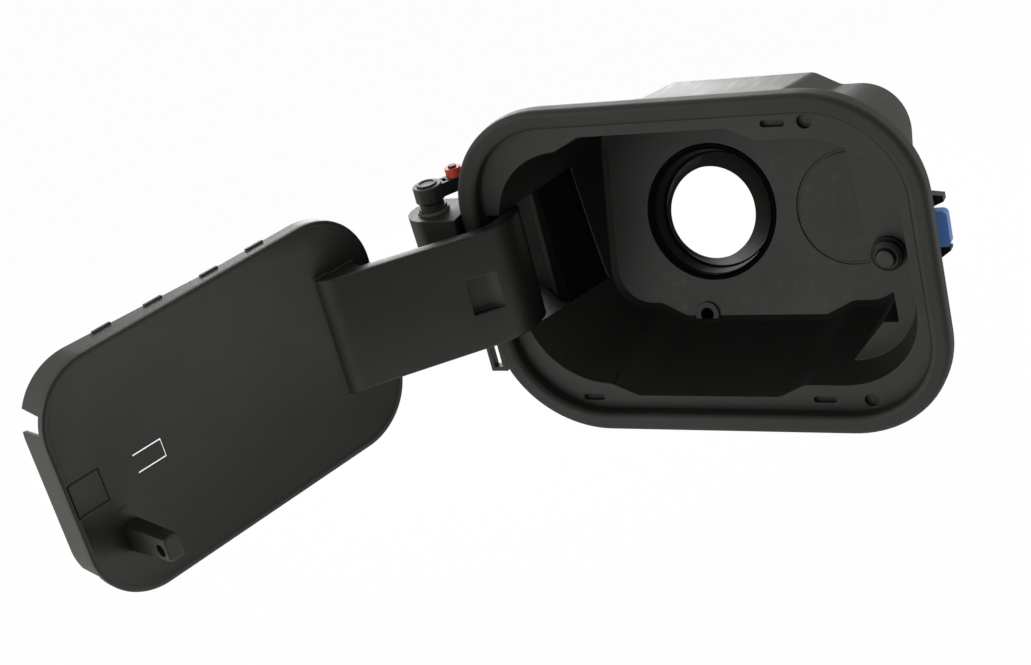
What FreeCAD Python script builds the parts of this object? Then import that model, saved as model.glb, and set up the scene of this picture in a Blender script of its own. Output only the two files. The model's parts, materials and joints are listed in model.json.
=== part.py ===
import FreeCAD, Part
import math
import os
import Sketcher

# Fuel filler housing: a moulded bowl with a sealed rim, a swan-neck flap that swings
# on a shaft at the left, a push latch and a lock bolt at the right, and a rubber
# grommet for the filler neck in its sloping back wall.
# Frame: X to the right, Y into the car, Z up. The origin is the middle of the rim,
# in the plane of the seal's front edge. Lengths in millimetres, angles in degrees.

doc = FreeCAD.newDocument("fuel_filler_housing")
sheet = doc.addObject("Spreadsheet::Sheet", "Sizes")

SIZES = [
    # Rim, seal and flange
    ("rim_width", 205.0),
    ("rim_height", 153.5),
    ("rim_corner", 47.0),
    ("seal_band", 8.5),
    ("seal_height", 6.0),
    ("seal_round", 2.6),
    ("flange_inset", 1.0),
    ("flange_thick", 3.0),
    ("wall", 2.6),
    # Mouth of the bowl, wider between its two jogs
    ("mouth_margin_left", 15.5),
    ("mouth_margin_right", 13.5),
    ("mouth_margin_top", 20.75),
    ("mouth_corner", 35.0),
    ("bulge", 6.0),
    ("root_rib", 1.2),
    ("root_height", 3.0),
    ("jog_left", 47.0),
    ("jog_right", 30.0),
    ("jog_run", 12.0),
    ("jog_round", 7.0),
    # Sloping back wall, measured from the middle of the filler neck
    ("neck_x", -16.5),
    ("neck_y", 66.8),
    ("neck_z", -3.2),
    ("back_tilt", 19.0),
    ("back_left", 50.0),
    ("back_right", 89.5),
    ("back_top", 49.5),
    ("back_bottom", 43.0),
    ("back_corner", 19.0),
    ("back_bevel", 2.4),
    ("back_jog_left", 21.0),
    ("back_jog_right", 57.0),
    # Filler neck grommet
    ("neck_hole", 28.2),
    ("neck_flange", 30.6),
    ("neck_bead", 1.8),
    ("neck_mouth", 27.6),
    ("shoulder_radius", 25.8),
    ("shoulder_depth", 10.0),
    ("lip_radius", 21.4),
    ("lip_depth", 25.0),
    ("lip_land", 4.0),
    ("lip_shift_x", -7.0),
    ("lip_shift_z", -3.0),
    ("rubber", 2.2),
    ("rubber_gap", 0.1),
    # Hinge
    ("hinge_out", 17.0),
    ("hinge_y", 8.5),
    ("flap_open", 110.6),
    ("shaft_radius", 4.0),
    ("shaft_fit", 0.03),
    ("bush_wall", 1.6),
    ("bush_flange", 7.2),
    ("bush_lip", 1.4),
    ("cup_radius", 10.0),
    ("cup_flare", 1.6),
    ("knuckle_radius", 7.4),
    ("run_gap", 1.0),
    ("end_gap", 0.1),
    ("pocket_out", 5.5),
    ("pocket_depth", 54.0),
    ("notch_margin", 9.5),
    # Flap, measured from the hinge axis with the flap shut
    ("flap_shift", 0.5),
    ("flap_gap_side", 4.15),
    ("flap_gap_top", 1.9),
    ("flap_corner", 28.4),
    ("flap_drop", 1.3),
    ("flap_plane", 6.4),
    ("flap_thick", 2.6),
    ("skirt_depth", 5.0),
    ("skirt_inset", 0.4),
    ("skirt_wall", 1.8),
    ("skirt_notch", 9.0),
    ("skirt_notch_top", 38.5),
    ("skirt_notch_low", -33.5),
    ("skirt_corner", 19.0),
    ("arm_height", 54.0),
    ("arm_thick", 5.4),
    ("arm_root", 62.0),
    ("arm_peak_x", -1.3),
    ("arm_peak_y", 40.1),
    ("arm_heel_x", -21.0),
    ("arm_heel_y", 30.5),
    ("arm_end_x", -4.2),
    ("arm_end_y", -1.6),
    ("arm_bend", 9.0),
    ("arm_knee", 13.0),
    ("arm_foot", 4.0),
    ("arm_foot_height", 4.5),
    ("arm_pocket_from", 7.6),
    ("arm_pocket_step", 12.6),
    ("arm_pocket_to", 20.0),
    ("arm_pocket_half", 8.5),
    ("arm_pocket_depth", 4.0),
    ("arm_scoop_half", 5.5),
    ("arm_scoop_depth", 2.2),
    ("border_height", 0.8),
    ("border_width", 2.6),
    ("pad_half", 7.5),
    ("pad_corner", 2.0),
    ("pad_groove", 0.5),
    ("tongue_x", 45.9),
    ("tongue_half", 7.2),
    ("tongue_top", 3.6),
    ("tongue_low", -4.5),
    ("slit", 0.8),
    # Striker finger with its eye, and the pad that meets the plunger
    ("finger_gap", 5.7),
    ("finger_z", -27.0),
    ("finger_width", 12.0),
    ("finger_thick", 6.0),
    ("finger_length", 28.0),
    ("eye_radius", 3.0),
    ("eye_from_tip", 4.8),
    ("finger_round", 2.0),
    # Shelf, latch and lock
    ("shelf_depth", 20.0),
    ("shelf_top", 23.2),
    ("shelf_low", 19.2),
    ("shelf_foot", 35.0),
    ("shelf_rise", 2.5),
    ("shelf_fall", 3.7),
    ("notch_depth", 6.5),
    ("notch_half", 6.8),
    ("latch_in", 11.8),
    ("latch_z", -1.5),
    ("latch_radius", 5.5),
    ("latch_wall", 1.1),
    ("latch_length", 28.0),
    ("plunger_radius", 4.0),
    ("plunger_gap", 0.1),
    ("plunger_proud", 7.0),
    ("plunger_travel", 5.0),
    ("plunger_bore", 2.9),
    ("spring_pin", 1.4),
    ("boot_radius", 7.2),
    ("boot_base", 1.6),
    ("boot_fold", 1.1),
    ("boot_height", 5.2),
    ("boot_gap", 0.3),
    ("bolt_radius", 2.2),
    ("bolt_length", 12.0),
    ("bolt_gap", 0.5),
    ("tab_y", 28.0),
    ("tab_z", 4.8),
    ("tab_width", 15.6),
    ("tab_thick", 4.0),
    ("tab_corner", 2.2),
    ("tab_root", 3.0),
    ("tab_out", 11.8),
    ("claw", 7.6),
    ("claw_gap", 0.5),
    ("claw_out", 11.4),
    # Crank and spring
    ("clip_thick", 1.0),
    ("clip_bite", 0.6),
    ("crank_radius", 6.5),
    ("crank_height", 7.0),
    ("crank_collar", 4.0),
    ("crank_waist", 5.4),
    ("crank_step", 1.0),
    ("crank_dish", 0.8),
    ("crank_length", 13.5),
    ("crank_angle", 51.0),
    ("crank_tip", 3.6),
    ("crank_pin", 1.8),
    ("clip_height", 4.0),
    ("post_in", 16.5),
    ("post_back", 8.0),
    ("post_radius", 2.5),
    ("post_height", 18.0),
    ("spring_radius", 2.6),
    ("spring_wire", 0.8),
    # Small openings of the flange and the back wall
    ("slot_length", 10.0),
    ("slot_width", 3.0),
    ("slot_margin", 13.75),
    ("slot_depth", 2.0),
    ("slot_round", 1.35),
    ("slot_right", 44.0),
    ("slot_left", 63.0),
    ("button_radius", 3.0),
    ("drain_x", -21.5),
    ("drain_radius", 3.0),
    ("blank_x", 48.5),
    ("blank_radius", 25.0),
    ("groove", 1.2),
    ("loop_bar", 2.0),
    ("loop_width", 8.0),
    ("loop_length", 22.0),
]
# Sizes and places that follow from those above
DERIVED = {
    "mouth_left": "rim_width / 2 - mouth_margin_left",
    "mouth_right": "rim_width / 2 - mouth_margin_right",
    "mouth_half": "rim_height / 2 - mouth_margin_top",
    "hinge_x": "-rim_width / 2 - hinge_out",
    "pocket_half": "arm_height / 2 + run_gap",
    "pocket_left": "rim_width / 2 + pocket_out",
    "arm_notch": "rim_width / 2 - notch_margin",
    "flap_reach": "flap_shift - hinge_x",
    "flap_width": "mouth_left + mouth_right - 2 * flap_gap_side",
    "flap_height": "2 * (mouth_half - flap_gap_top)",
    "shelf_top_x": "mouth_right - shelf_top",
    "shelf_low_x": "mouth_right - shelf_low",
    "shelf_foot_x": "mouth_right - shelf_foot",
    "latch_x": "mouth_right - latch_in",
    "finger_x": "shelf_low_x - finger_gap - hinge_x",
    "post_x": "post_in - rim_width / 2",
    "post_y": "pocket_depth - post_back",
    "slot_z": "rim_height / 2 - slot_margin",
}
for row, (alias, value) in enumerate(SIZES, start=1):
    sheet.set("A%d" % row, alias)
    sheet.set("B%d" % row, str(value))
    sheet.setAlias("B%d" % row, alias)
doc.recompute()


def size(text):
    """A formula over the sheet's names, written the way an expression needs it."""
    words = []
    word = ""
    for mark in text + " ":
        if mark.isalnum() or mark in "_.":
            word += mark
            continue
        if word in ALIASES:
            word = "Sizes." + word
        elif word in DERIVED:
            word = "(%s)" % size(DERIVED[word])
        words.append(word + mark)
        word = ""
    return "".join(words).strip()


ALIASES = {alias for alias, _ in SIZES}


def number(text):
    """The value of such a formula now."""
    return float(sheet.evalExpression(size(text)))


def bind(item, prop, text):
    item.setExpression(prop, size(text))


def new_body(name):
    body = doc.addObject("PartDesign::Body", name)
    body.Label = name
    return body


def plane(body, role):
    return [f for f in body.Origin.OriginFeatures if f.Role == role][0]


def new_sketch(body, name, role, offset=("0", "0", "0"), tilt=None):
    """A sketch on one of the body's planes, moved along the plane's own axes."""
    sketch = body.newObject("Sketcher::SketchObject", name)
    sketch.AttachmentSupport = (plane(body, role), [""])
    sketch.MapMode = "FlatFace"
    if tilt:
        sketch.AttachmentOffset = FreeCAD.Placement(
            FreeCAD.Vector(), FreeCAD.Rotation(FreeCAD.Vector(-1, 0, 0), number(tilt)))
        bind(sketch, "AttachmentOffset.Rotation.Angle", tilt)
    for axis, text in zip("xyz", offset):
        if text != "0":
            bind(sketch, "AttachmentOffset.Base." + axis, text)
    return sketch


def pin(sketch, geo, pos, x, y):
    """Holds a point at a place given by two formulas."""
    for kind, text in (("DistanceX", x), ("DistanceY", y)):
        index = sketch.addConstraint(Sketcher.Constraint(kind, -1, 1, geo, pos, number(text)))
        bind(sketch, "Constraints[%d]" % index, text)


def ring(sketch, x, y, radius):
    """A circle."""
    geo = sketch.addGeometry(Part.Circle(
        FreeCAD.Vector(number(x), number(y), 0), FreeCAD.Vector(0, 0, 1), number(radius)))
    pin(sketch, geo, 3, x, y)
    index = sketch.addConstraint(Sketcher.Constraint("Radius", geo, number(radius)))
    bind(sketch, "Constraints[%d]" % index, radius)


def trace(sketch, corners, closed=True):
    """Lines through the corners (x, y, radius or None), rounded where a radius is given."""
    spots = [FreeCAD.Vector(number(x), number(y), 0) for x, y, _ in corners]
    count = len(corners)
    enter = []
    leave = []
    for i, (_, _, radius) in enumerate(corners):
        here = spots[i]
        if radius is None:
            enter.append(here)
            leave.append(here)
            continue
        to_last = (spots[i - 1] - here).normalize()
        to_next = (spots[(i + 1) % count] - here).normalize()
        half = to_last.getAngle(to_next) / 2
        reach = number(radius) / math.tan(half)
        enter.append(here + to_last * reach)
        leave.append(here + to_next * reach)
    runs = count if closed else count - 1
    lines = [sketch.addGeometry(Part.LineSegment(leave[i], enter[(i + 1) % count])) for i in range(runs)]
    for i, (x, y, radius) in enumerate(corners):
        before = lines[i - 1] if closed or i > 0 else None
        after = lines[i] if i < runs else None
        if radius is None:
            if before is not None and after is not None:
                sketch.addConstraint(Sketcher.Constraint("Coincident", before, 2, after, 1))
            if after is not None:
                pin(sketch, after, 1, x, y)
            else:
                pin(sketch, before, 2, x, y)
            continue
        round_corner(sketch, spots[i], enter[i], leave[i], before, after, x, y, radius)


def round_corner(sketch, corner, start, end, before, after, x, y, radius):
    """An arc between two lines, tangent to both, and the corner that they would meet in."""
    middle = start + end - corner * 2
    centre_reach = math.hypot(number(radius), (start - corner).Length)
    centre = corner + middle.normalize() * centre_reach
    tip = centre + (corner - centre).normalize() * number(radius)
    arc = sketch.addGeometry(Part.Arc(start, tip, end))
    turns_left = (corner - start).cross(end - corner).z > 0
    first, last = (1, 2) if turns_left else (2, 1)
    sketch.addConstraint(Sketcher.Constraint("Tangent", before, 2, arc, first))
    sketch.addConstraint(Sketcher.Constraint("Tangent", arc, last, after, 1))
    index = sketch.addConstraint(Sketcher.Constraint("Radius", arc, number(radius)))
    bind(sketch, "Constraints[%d]" % index, radius)
    mark = sketch.addGeometry(Part.Point(corner), True)
    sketch.addConstraint(Sketcher.Constraint("PointOnObject", mark, 1, before))
    sketch.addConstraint(Sketcher.Constraint("PointOnObject", mark, 1, after))
    pin(sketch, mark, 1, x, y)


def block(sketch, left, right, low, high, radius=None):
    """A rectangle between four formulas."""
    trace(sketch, [(left, low, radius), (right, low, radius), (right, high, radius), (left, high, radius)])


def feature(body, kind, name, sketch, length=None, both=False, back=False):
    """A pad or pocket of a sketch."""
    item = body.newObject("PartDesign::" + kind, name)
    item.Profile = sketch
    bind(item, "Length", length)
    if both:
        item.SideType = "Symmetric"
    item.Reversed = back
    doc.recompute()
    return item


def loft(body, kind, name, sections):
    item = body.newObject("PartDesign::" + kind, name)
    item.Profile = sections[0]
    item.Sections = sections[1:]
    item.Ruled = True
    doc.recompute()
    return item


def round_edges(body, name, radius, wanted):
    """A fillet on the edges of the body's last shape that the test picks."""
    tip = body.Tip
    names = ["Edge%d" % (i + 1) for i, edge in enumerate(tip.Shape.Edges) if wanted(edge)]
    item = body.newObject("PartDesign::Fillet", name)
    item.Base = (tip, names)
    bind(item, "Radius", radius)
    doc.recompute()
    return item


def rim_corners(grow):
    """The rim's rounded rectangle, larger or smaller by a formula."""
    wide = "(rim_width / 2 + %s)" % grow
    tall = "(rim_height / 2 + %s)" % grow
    turn = "(rim_corner + %s)" % grow
    return [("-" + wide, "-" + tall, turn), (wide, "-" + tall, turn), (wide, tall, turn), ("-" + wide, tall, turn)]


def mouth_corners(grow):
    """The bowl's mouth, with a jog up and down at each end of its wider middle."""
    return jogged(grow, "mouth_left", "mouth_right", "mouth_half", "mouth_half", "mouth_corner",
                  "jog_left", "jog_right")


def back_corners(grow):
    """The back wall's outline about the filler neck, with jogs that run on from the mouth's."""
    return jogged(grow, "back_left", "back_right", "back_top", "back_bottom", "back_corner",
                  "back_jog_left", "back_jog_right")


def jogged(grow, left, right, top, bottom, turn, jog_a, jog_b):
    left = "-(%s + %s)" % (left, grow)
    right = "(%s + %s)" % (right, grow)
    top = "(%s + %s)" % (top, grow)
    bottom = "-(%s + %s)" % (bottom, grow)
    turn = "(%s + %s)" % (turn, grow)
    high = top + " + bulge"
    low = bottom + " - bulge"
    near_a = "-%s - jog_run / 2" % jog_a
    far_a = "-%s + jog_run / 2" % jog_a
    far_b = "%s - jog_run / 2" % jog_b
    near_b = "%s + jog_run / 2" % jog_b
    return [
        (left, bottom, turn),
        (near_a, bottom, "jog_round"),
        (far_a, low, "jog_round"),
        (far_b, low, "jog_round"),
        (near_b, bottom, "jog_round"),
        (right, bottom, turn),
        (right, top, turn),
        (near_b, top, "jog_round"),
        (far_b, high, "jog_round"),
        (far_a, high, "jog_round"),
        (near_a, top, "jog_round"),
        (left, top, turn),
    ]


def on_back(depth):
    """The place of a sketch that lies behind the back wall's face by a formula."""
    return ("neck_x", "neck_z - (%s) * sin(back_tilt * 1deg)" % depth,
            "-neck_y - (%s) * cos(back_tilt * 1deg)" % depth)


def tilted(body, name, depth):
    return new_sketch(body, name, "XZ_Plane", on_back(depth), "back_tilt")


def front(body, name, depth):
    """A sketch that faces the mouth, at a depth behind the rim."""
    return new_sketch(body, name, "XZ_Plane", ("0", "0", "-(%s)" % depth))


def level(body, name, height="0"):
    """A sketch that faces up, at a height."""
    return new_sketch(body, name, "XY_Plane", ("0", "0", height))


def turned(body, name, role, offset, axis, corners):
    """A turned piece: the profile's corners (along the sketch), spun about one of its axes."""
    sketch = new_sketch(body, name + "_profile", role, offset)
    trace(sketch, corners)
    item = body.newObject("PartDesign::Revolution", name)
    item.Profile = sketch
    item.ReferenceAxis = (sketch, [axis])
    item.Angle = 360
    doc.recompute()
    return item


def stepped(low, high, inner, outer):
    """The four corners of a plain ring's section, as radius and height."""
    return [(inner, low, None), (outer, low, None), (outer, high, None), (inner, high, None)]


def on_hinge(body, name, corners):
    """A piece turned about the hinge axis."""
    return turned(body, name, "XZ_Plane", ("hinge_x", "0", "-hinge_y"), "V_Axis", corners)


def on_latch(body, name, corners):
    """A piece turned about the plunger's axis, with its section as radius and depth."""
    return turned(body, name, "XY_Plane", ("latch_x", "0", "latch_z"), "V_Axis", corners)


def turn_with_flap(body, angle):
    """Puts a piece that is drawn about the hinge axis where it stands with the flap open."""
    body.Placement = FreeCAD.Placement(
        FreeCAD.Vector(), FreeCAD.Rotation(FreeCAD.Vector(0, 0, 1), number(angle)))
    bind(body, "Placement.Rotation.Angle", angle)
    bind(body, "Placement.Base.x", "hinge_x")
    bind(body, "Placement.Base.y", "hinge_y")


# Formulas that several pieces share
FLANGE_BACK = "seal_height + flange_thick"
POCKET_OUT = "(pocket_half + wall)"
SHELF_BACK = "shelf_depth + wall"
SHELF_TOP = "mouth_half - shelf_rise"
SHELF_LOW = "-mouth_half + shelf_fall"
NOTCH_TOP = "finger_z + notch_half"
NOTCH_LOW = "finger_z - notch_half"
NOTCH_X = "shelf_low_x + notch_depth"
FAR = "2 * rim_width"
EYE_Y = "hinge_y - flap_plane + finger_length - eye_from_tip"
BUSH_BORE = "shaft_radius + shaft_fit"
BUSH_OUT = "shaft_radius + bush_wall"
BUSH_TOP = POCKET_OUT + " + bush_lip"
COLLAR_LOW = BUSH_TOP + " + end_gap"
CRANK_LOW = COLLAR_LOW + " + crank_collar"
CRANK_TOP = CRANK_LOW + " + crank_height"
PIN_SEAT = CRANK_TOP + " - crank_step"
LATCH_BACK = SHELF_BACK + " + latch_length"
TAB_TOP = "tab_z + tab_width / 2"
TAB_LOW = "tab_z - tab_width / 2"
CLAW_TOP = TAB_TOP + " + claw_gap + claw"
CLAW_LOW = TAB_LOW + " - claw_gap - claw"


def shelf_edge(shift):
    """The shelf's left edge from top to bottom, with the notch for the lock bolt."""
    return [
        ("shelf_top_x + " + shift, SHELF_TOP, None),
        ("shelf_low_x + " + shift, NOTCH_TOP + " + " + shift, None),
        (NOTCH_X + " + " + shift, NOTCH_TOP + " + " + shift, None),
        (NOTCH_X + " + " + shift, NOTCH_LOW + " - " + shift, None),
        ("shelf_low_x + " + shift, NOTCH_LOW + " - " + shift, None),
        ("shelf_foot_x + " + shift, SHELF_LOW, None),
    ]


# The space inside the bowl, with the shelf left standing in it
def bowl_space():
    body = new_body("bowl_space")
    mouth = front(body, "inner_mouth", "seal_height")
    trace(mouth, mouth_corners("0"))
    edge = tilted(body, "inner_back_edge", "-back_bevel")
    trace(edge, back_corners("0"))
    back = tilted(body, "inner_back", "0")
    trace(back, back_corners("(-back_bevel)"))
    loft(body, "AdditiveLoft", "bowl_inside", [mouth, edge, back])
    shelf = front(body, "shelf_outline", "shelf_depth")
    edge = shelf_edge("0")
    first, last = edge[0], edge[-1]
    trace(shelf, edge + [
        (last[0], "-" + FAR, None),
        (FAR, "-" + FAR, None),
        (FAR, FAR, None),
        (first[0], FAR, None),
    ])
    feature(body, "Pocket", "shelf_stands", shelf, FAR)
    return body


# The space behind the shelf, open to the back, where the latch sits
def latch_space():
    body = new_body("latch_space")
    mouth = front(body, "latch_mouth", "seal_height")
    trace(mouth, mouth_corners("0"))
    back = tilted(body, "latch_back", "2 * wall")
    trace(back, back_corners("0"))
    loft(body, "AdditiveLoft", "latch_block", [mouth, back])
    lid = front(body, "shelf_plate", "0")
    block(lid, "-" + FAR, FAR, "-" + FAR, FAR)
    feature(body, "Pocket", "shelf_plate_stands", lid, SHELF_BACK)
    side = front(body, "side_wall", "0")
    edge = shelf_edge("wall")
    first, last = edge[0], edge[-1]
    trace(side, edge + [
        (last[0], "-" + FAR, None),
        ("-" + FAR, "-" + FAR, None),
        ("-" + FAR, FAR, None),
        (first[0], FAR, None),
    ])
    feature(body, "Pocket", "side_wall_stands", side, FAR)
    return body


def take_away(body, name, tool):
    item = body.newObject("PartDesign::Boolean", name)
    item.Type = "Cut"
    item.setObjects([tool])
    doc.recompute()
    return item


# Housing: bowl, flange, hinge pocket and latch shelf in one moulding
def make_housing():
    spaces = [bowl_space(), latch_space()]
    body = new_body("housing_bowl")
    outer_mouth = front(body, "outer_mouth", "seal_height")
    trace(outer_mouth, mouth_corners("wall"))
    outer_back = tilted(body, "outer_back", "wall")
    trace(outer_back, back_corners("wall"))
    loft(body, "AdditiveLoft", "bowl_outside", [outer_mouth, outer_back])
    plate = front(body, "flange_outline", "seal_height")
    trace(plate, rim_corners("(-flange_inset)"))
    feature(body, "Pad", "flange_plate", plate, "flange_thick", back=True)
    rib = front(body, "root_rib_outline", FLANGE_BACK)
    trace(rib, mouth_corners("(wall + root_rib)"))
    feature(body, "Pad", "root_rib", rib, "root_height", back=True)
    add_hinge_pocket(body)
    for space in spaces:
        take_away(body, space.Label + "_cut", space)
    cut_hinge_pocket(body)
    add_small_forms(body)
    cut_small_holes(body)
    return body


def add_hinge_pocket(body):
    """The pocket that the swan neck swings in, and the cup around its shaft."""
    walls = level(body, "hinge_pocket_outline")
    block(walls, "-pocket_left", "-back_left + neck_x", "seal_height", "pocket_depth + wall")
    feature(body, "Pad", "hinge_pocket", walls, "2 * " + POCKET_OUT, both=True)
    sections = []
    for name, height, flare in (("lower", "-" + POCKET_OUT, "0"), ("upper", POCKET_OUT, "cup_flare")):
        sketch = level(body, name + "_cup_outline", height)
        trace(sketch, cup_corners("(cup_radius + %s)" % flare))
        sections.append(sketch)
    loft(body, "AdditiveLoft", "hinge_cup", sections)


def cup_corners(radius):
    """The cup's outline about the shaft, with a leg that stands on the flange."""
    edge = "-rim_width / 2 - run_gap"
    inner_end = "-arm_notch - run_gap"
    left = "hinge_x - " + radius
    nose = "hinge_y - " + radius
    tail = "hinge_y + " + radius
    turn = radius + " - end_gap"
    return [
        (left, nose, turn),
        (edge, nose, "run_gap"),
        (edge, FLANGE_BACK, None),
        (inner_end, FLANGE_BACK, None),
        (inner_end, tail, None),
        (left, tail, turn),
    ]


def cut_hinge_pocket(body):
    left = "hinge_x - 2 * cup_radius"
    sweep = level(body, "arm_sweep")
    block(sweep, left, "neck_x - back_left", FLANGE_BACK, "pocket_depth")
    feature(body, "Pocket", "arm_space", sweep, "2 * pocket_half", both=True)
    notch = front(body, "arm_notch_outline", "seal_height")
    block(notch, "-arm_notch", "-mouth_left + wall", "-pocket_half", "pocket_half", "run_gap")
    feature(body, "Pocket", "arm_notch_cut", notch, "flange_thick")
    bore = level(body, "cup_bore")
    ring(bore, "hinge_x", "hinge_y", "knuckle_radius + run_gap")
    feature(body, "Pocket", "cup_inside", bore, "2 * pocket_half", both=True)
    gate = level(body, "cup_gate")
    block(gate, left, "-arm_notch - 2 * run_gap", "hinge_y", "pocket_depth")
    feature(body, "Pocket", "cup_open_back", gate, "2 * pocket_half", both=True)
    eyes = level(body, "bush_holes")
    ring(eyes, "hinge_x", "hinge_y", BUSH_OUT)
    feature(body, "Pocket", "bush_seats", eyes, "3 * " + POCKET_OUT, both=True)


def add_small_forms(body):
    """The spring post, the snap loop and the drain's boss."""
    post = level(body, "spring_post_outline", "pocket_half")
    ring(post, "post_x", "post_y", "post_radius")
    feature(body, "Pad", "spring_post", post, "post_height")
    loop = front(body, "snap_loop_outline", "hinge_y")
    left = "hinge_x + cup_radius - loop_bar"
    right = left + " + loop_width"
    top = "-pocket_half"
    low = "-pocket_half - loop_length"
    block(loop, left, right, low, top)
    block(loop, left + " + loop_bar", right + " - loop_bar", low + " + loop_bar", "-" + POCKET_OUT)
    feature(body, "Pad", "snap_loop", loop, "2 * loop_bar", both=True)
    boss = tilted(body, "drain_boss_outline", "0")
    ring(boss, "drain_x - neck_x", "-back_bottom - bulge + drain_radius", "drain_radius + wall")
    feature(body, "Pad", "drain_boss", boss, "groove")


def cut_small_holes(body):
    """Neck and drain holes, blank ring, flange slots, and the ways through for latch, tab and bolt."""
    neck = tilted(body, "neck_hole_outline", "0")
    ring(neck, "0", "0", "neck_hole")
    feature(body, "Pocket", "neck_hole_cut", neck, "2 * wall")
    drain = tilted(body, "drain_outline", "-groove")
    ring(drain, "drain_x - neck_x", "-back_bottom - bulge + drain_radius", "drain_radius")
    feature(body, "Pocket", "drain_hole", drain, "2 * wall + groove")
    blank = tilted(body, "blank_ring_outline", "0")
    ring(blank, "blank_x - neck_x", "0", "blank_radius")
    ring(blank, "blank_x - neck_x", "0", "blank_radius - groove")
    feature(body, "Pocket", "blank_ring", blank, "groove / 2")
    slots = front(body, "flange_slots_outline", "seal_height")
    for x, z in (("slot_right", "slot_z"), ("slot_right", "-slot_z"), ("-slot_left", "-slot_z")):
        block(slots, x + " - slot_length / 2", x + " + slot_length / 2", z + " - slot_width / 2",
              z + " + slot_width / 2", "slot_round")
    ring(slots, "slot_right + slot_length + button_radius", "slot_z", "button_radius")
    ring(slots, "slot_right + 2 * slot_length", "-slot_z", "button_radius")
    feature(body, "Pocket", "flange_slots", slots, "slot_depth")
    way = front(body, "plunger_way_outline", "shelf_depth")
    ring(way, "latch_x", "latch_z", "plunger_radius + plunger_gap + latch_wall + plunger_gap")
    feature(body, "Pocket", "plunger_way", way, "wall")
    side = new_sketch(body, "latch_way_outline", "YZ_Plane", ("0", "0", "latch_x"))
    block(side, SHELF_BACK, LATCH_BACK + " + wall", CLAW_LOW + " - run_gap", CLAW_TOP + " + run_gap")
    feature(body, "Pocket", "latch_way", side, "rim_width / 2", back=True)
    guide = new_sketch(body, "bolt_way_outline", "YZ_Plane", ("0", "0", NOTCH_X))
    ring(guide, EYE_Y, "finger_z", "bolt_radius + plunger_gap")
    feature(body, "Pocket", "bolt_way", guide, "rim_width / 2", back=True)


# Rim seal: a soft roll that stands on the flange all round
def make_seal():
    body = new_body("rim_seal")
    sketch = front(body, "seal_outline", "0")
    trace(sketch, rim_corners("0"))
    trace(sketch, rim_corners("(-seal_band)"))
    feature(body, "Pad", "seal_roll", sketch, "seal_height", back=True)
    return round_edges(body, "seal_rounding", "seal_round",
                       lambda edge: all(abs(v.Point.y) < 0.01 for v in edge.Vertexes))


# Grommet: a rubber collar in the back wall that narrows to the filler neck's lip
def make_grommet():
    body = new_body("neck_grommet")
    bead = tilted(body, "bead_outline", "0")
    ring(bead, "0", "0", "neck_flange")
    feature(body, "Pad", "bead", bead, "neck_bead")
    waist = tilted(body, "waist_outline", "0")
    ring(waist, "0", "0", "neck_hole - rubber_gap")
    feature(body, "Pad", "waist", waist, "wall + rubber_gap", back=True)
    lip = tilted(body, "snap_lip_outline", "wall + rubber_gap")
    ring(lip, "0", "0", "neck_hole + rubber")
    feature(body, "Pad", "snap_lip", lip, "rubber", back=True)
    outer = neck_sections(body, "outer", "rubber", "0")
    loft(body, "AdditiveLoft", "funnel", outer)
    inner = neck_sections(body, "inner", "0", "lip_land")
    loft(body, "SubtractiveLoft", "funnel_inside", inner)
    land = tilted(body, "lip_land_outline", "lip_depth - lip_land")
    ring(land, "lip_shift_x", "lip_shift_z", "lip_radius")
    feature(body, "Pocket", "lip_bore", land, "2 * lip_land")
    return body


def neck_sections(body, name, grow, short):
    """Circles from the bowl's side of the wall to the lip, each larger by a formula."""
    places = [
        ("0" if short == "0" else "-neck_bead", "0", "0", "neck_mouth"),
        ("shoulder_depth", "0", "0", "shoulder_radius"),
        ("lip_depth - " + short, "lip_shift_x", "lip_shift_z", "lip_radius"),
    ]
    sections = []
    for count, (depth, x, z, radius) in enumerate(places):
        sketch = tilted(body, "%s_circle_%d" % (name, count + 1), depth)
        room = grow if count else "0"
        ring(sketch, x, z, radius + " + " + room)
        sections.append(sketch)
    return sections


# Flap: inner panel, skirt and swan-neck arm in one moulding, drawn shut about the hinge axis
def panel_corners(grow):
    wide = "(flap_width / 2 + %s)" % grow
    tall = "(flap_height / 2 + %s)" % grow
    turn = "(flap_corner + %s)" % grow
    left, right = "flap_reach - " + wide, "flap_reach + " + wide
    low, high = "-flap_drop - " + tall, "-flap_drop + " + tall
    return [(left, low, turn), (right, low, turn), (right, high, turn), (left, high, turn)]


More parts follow.
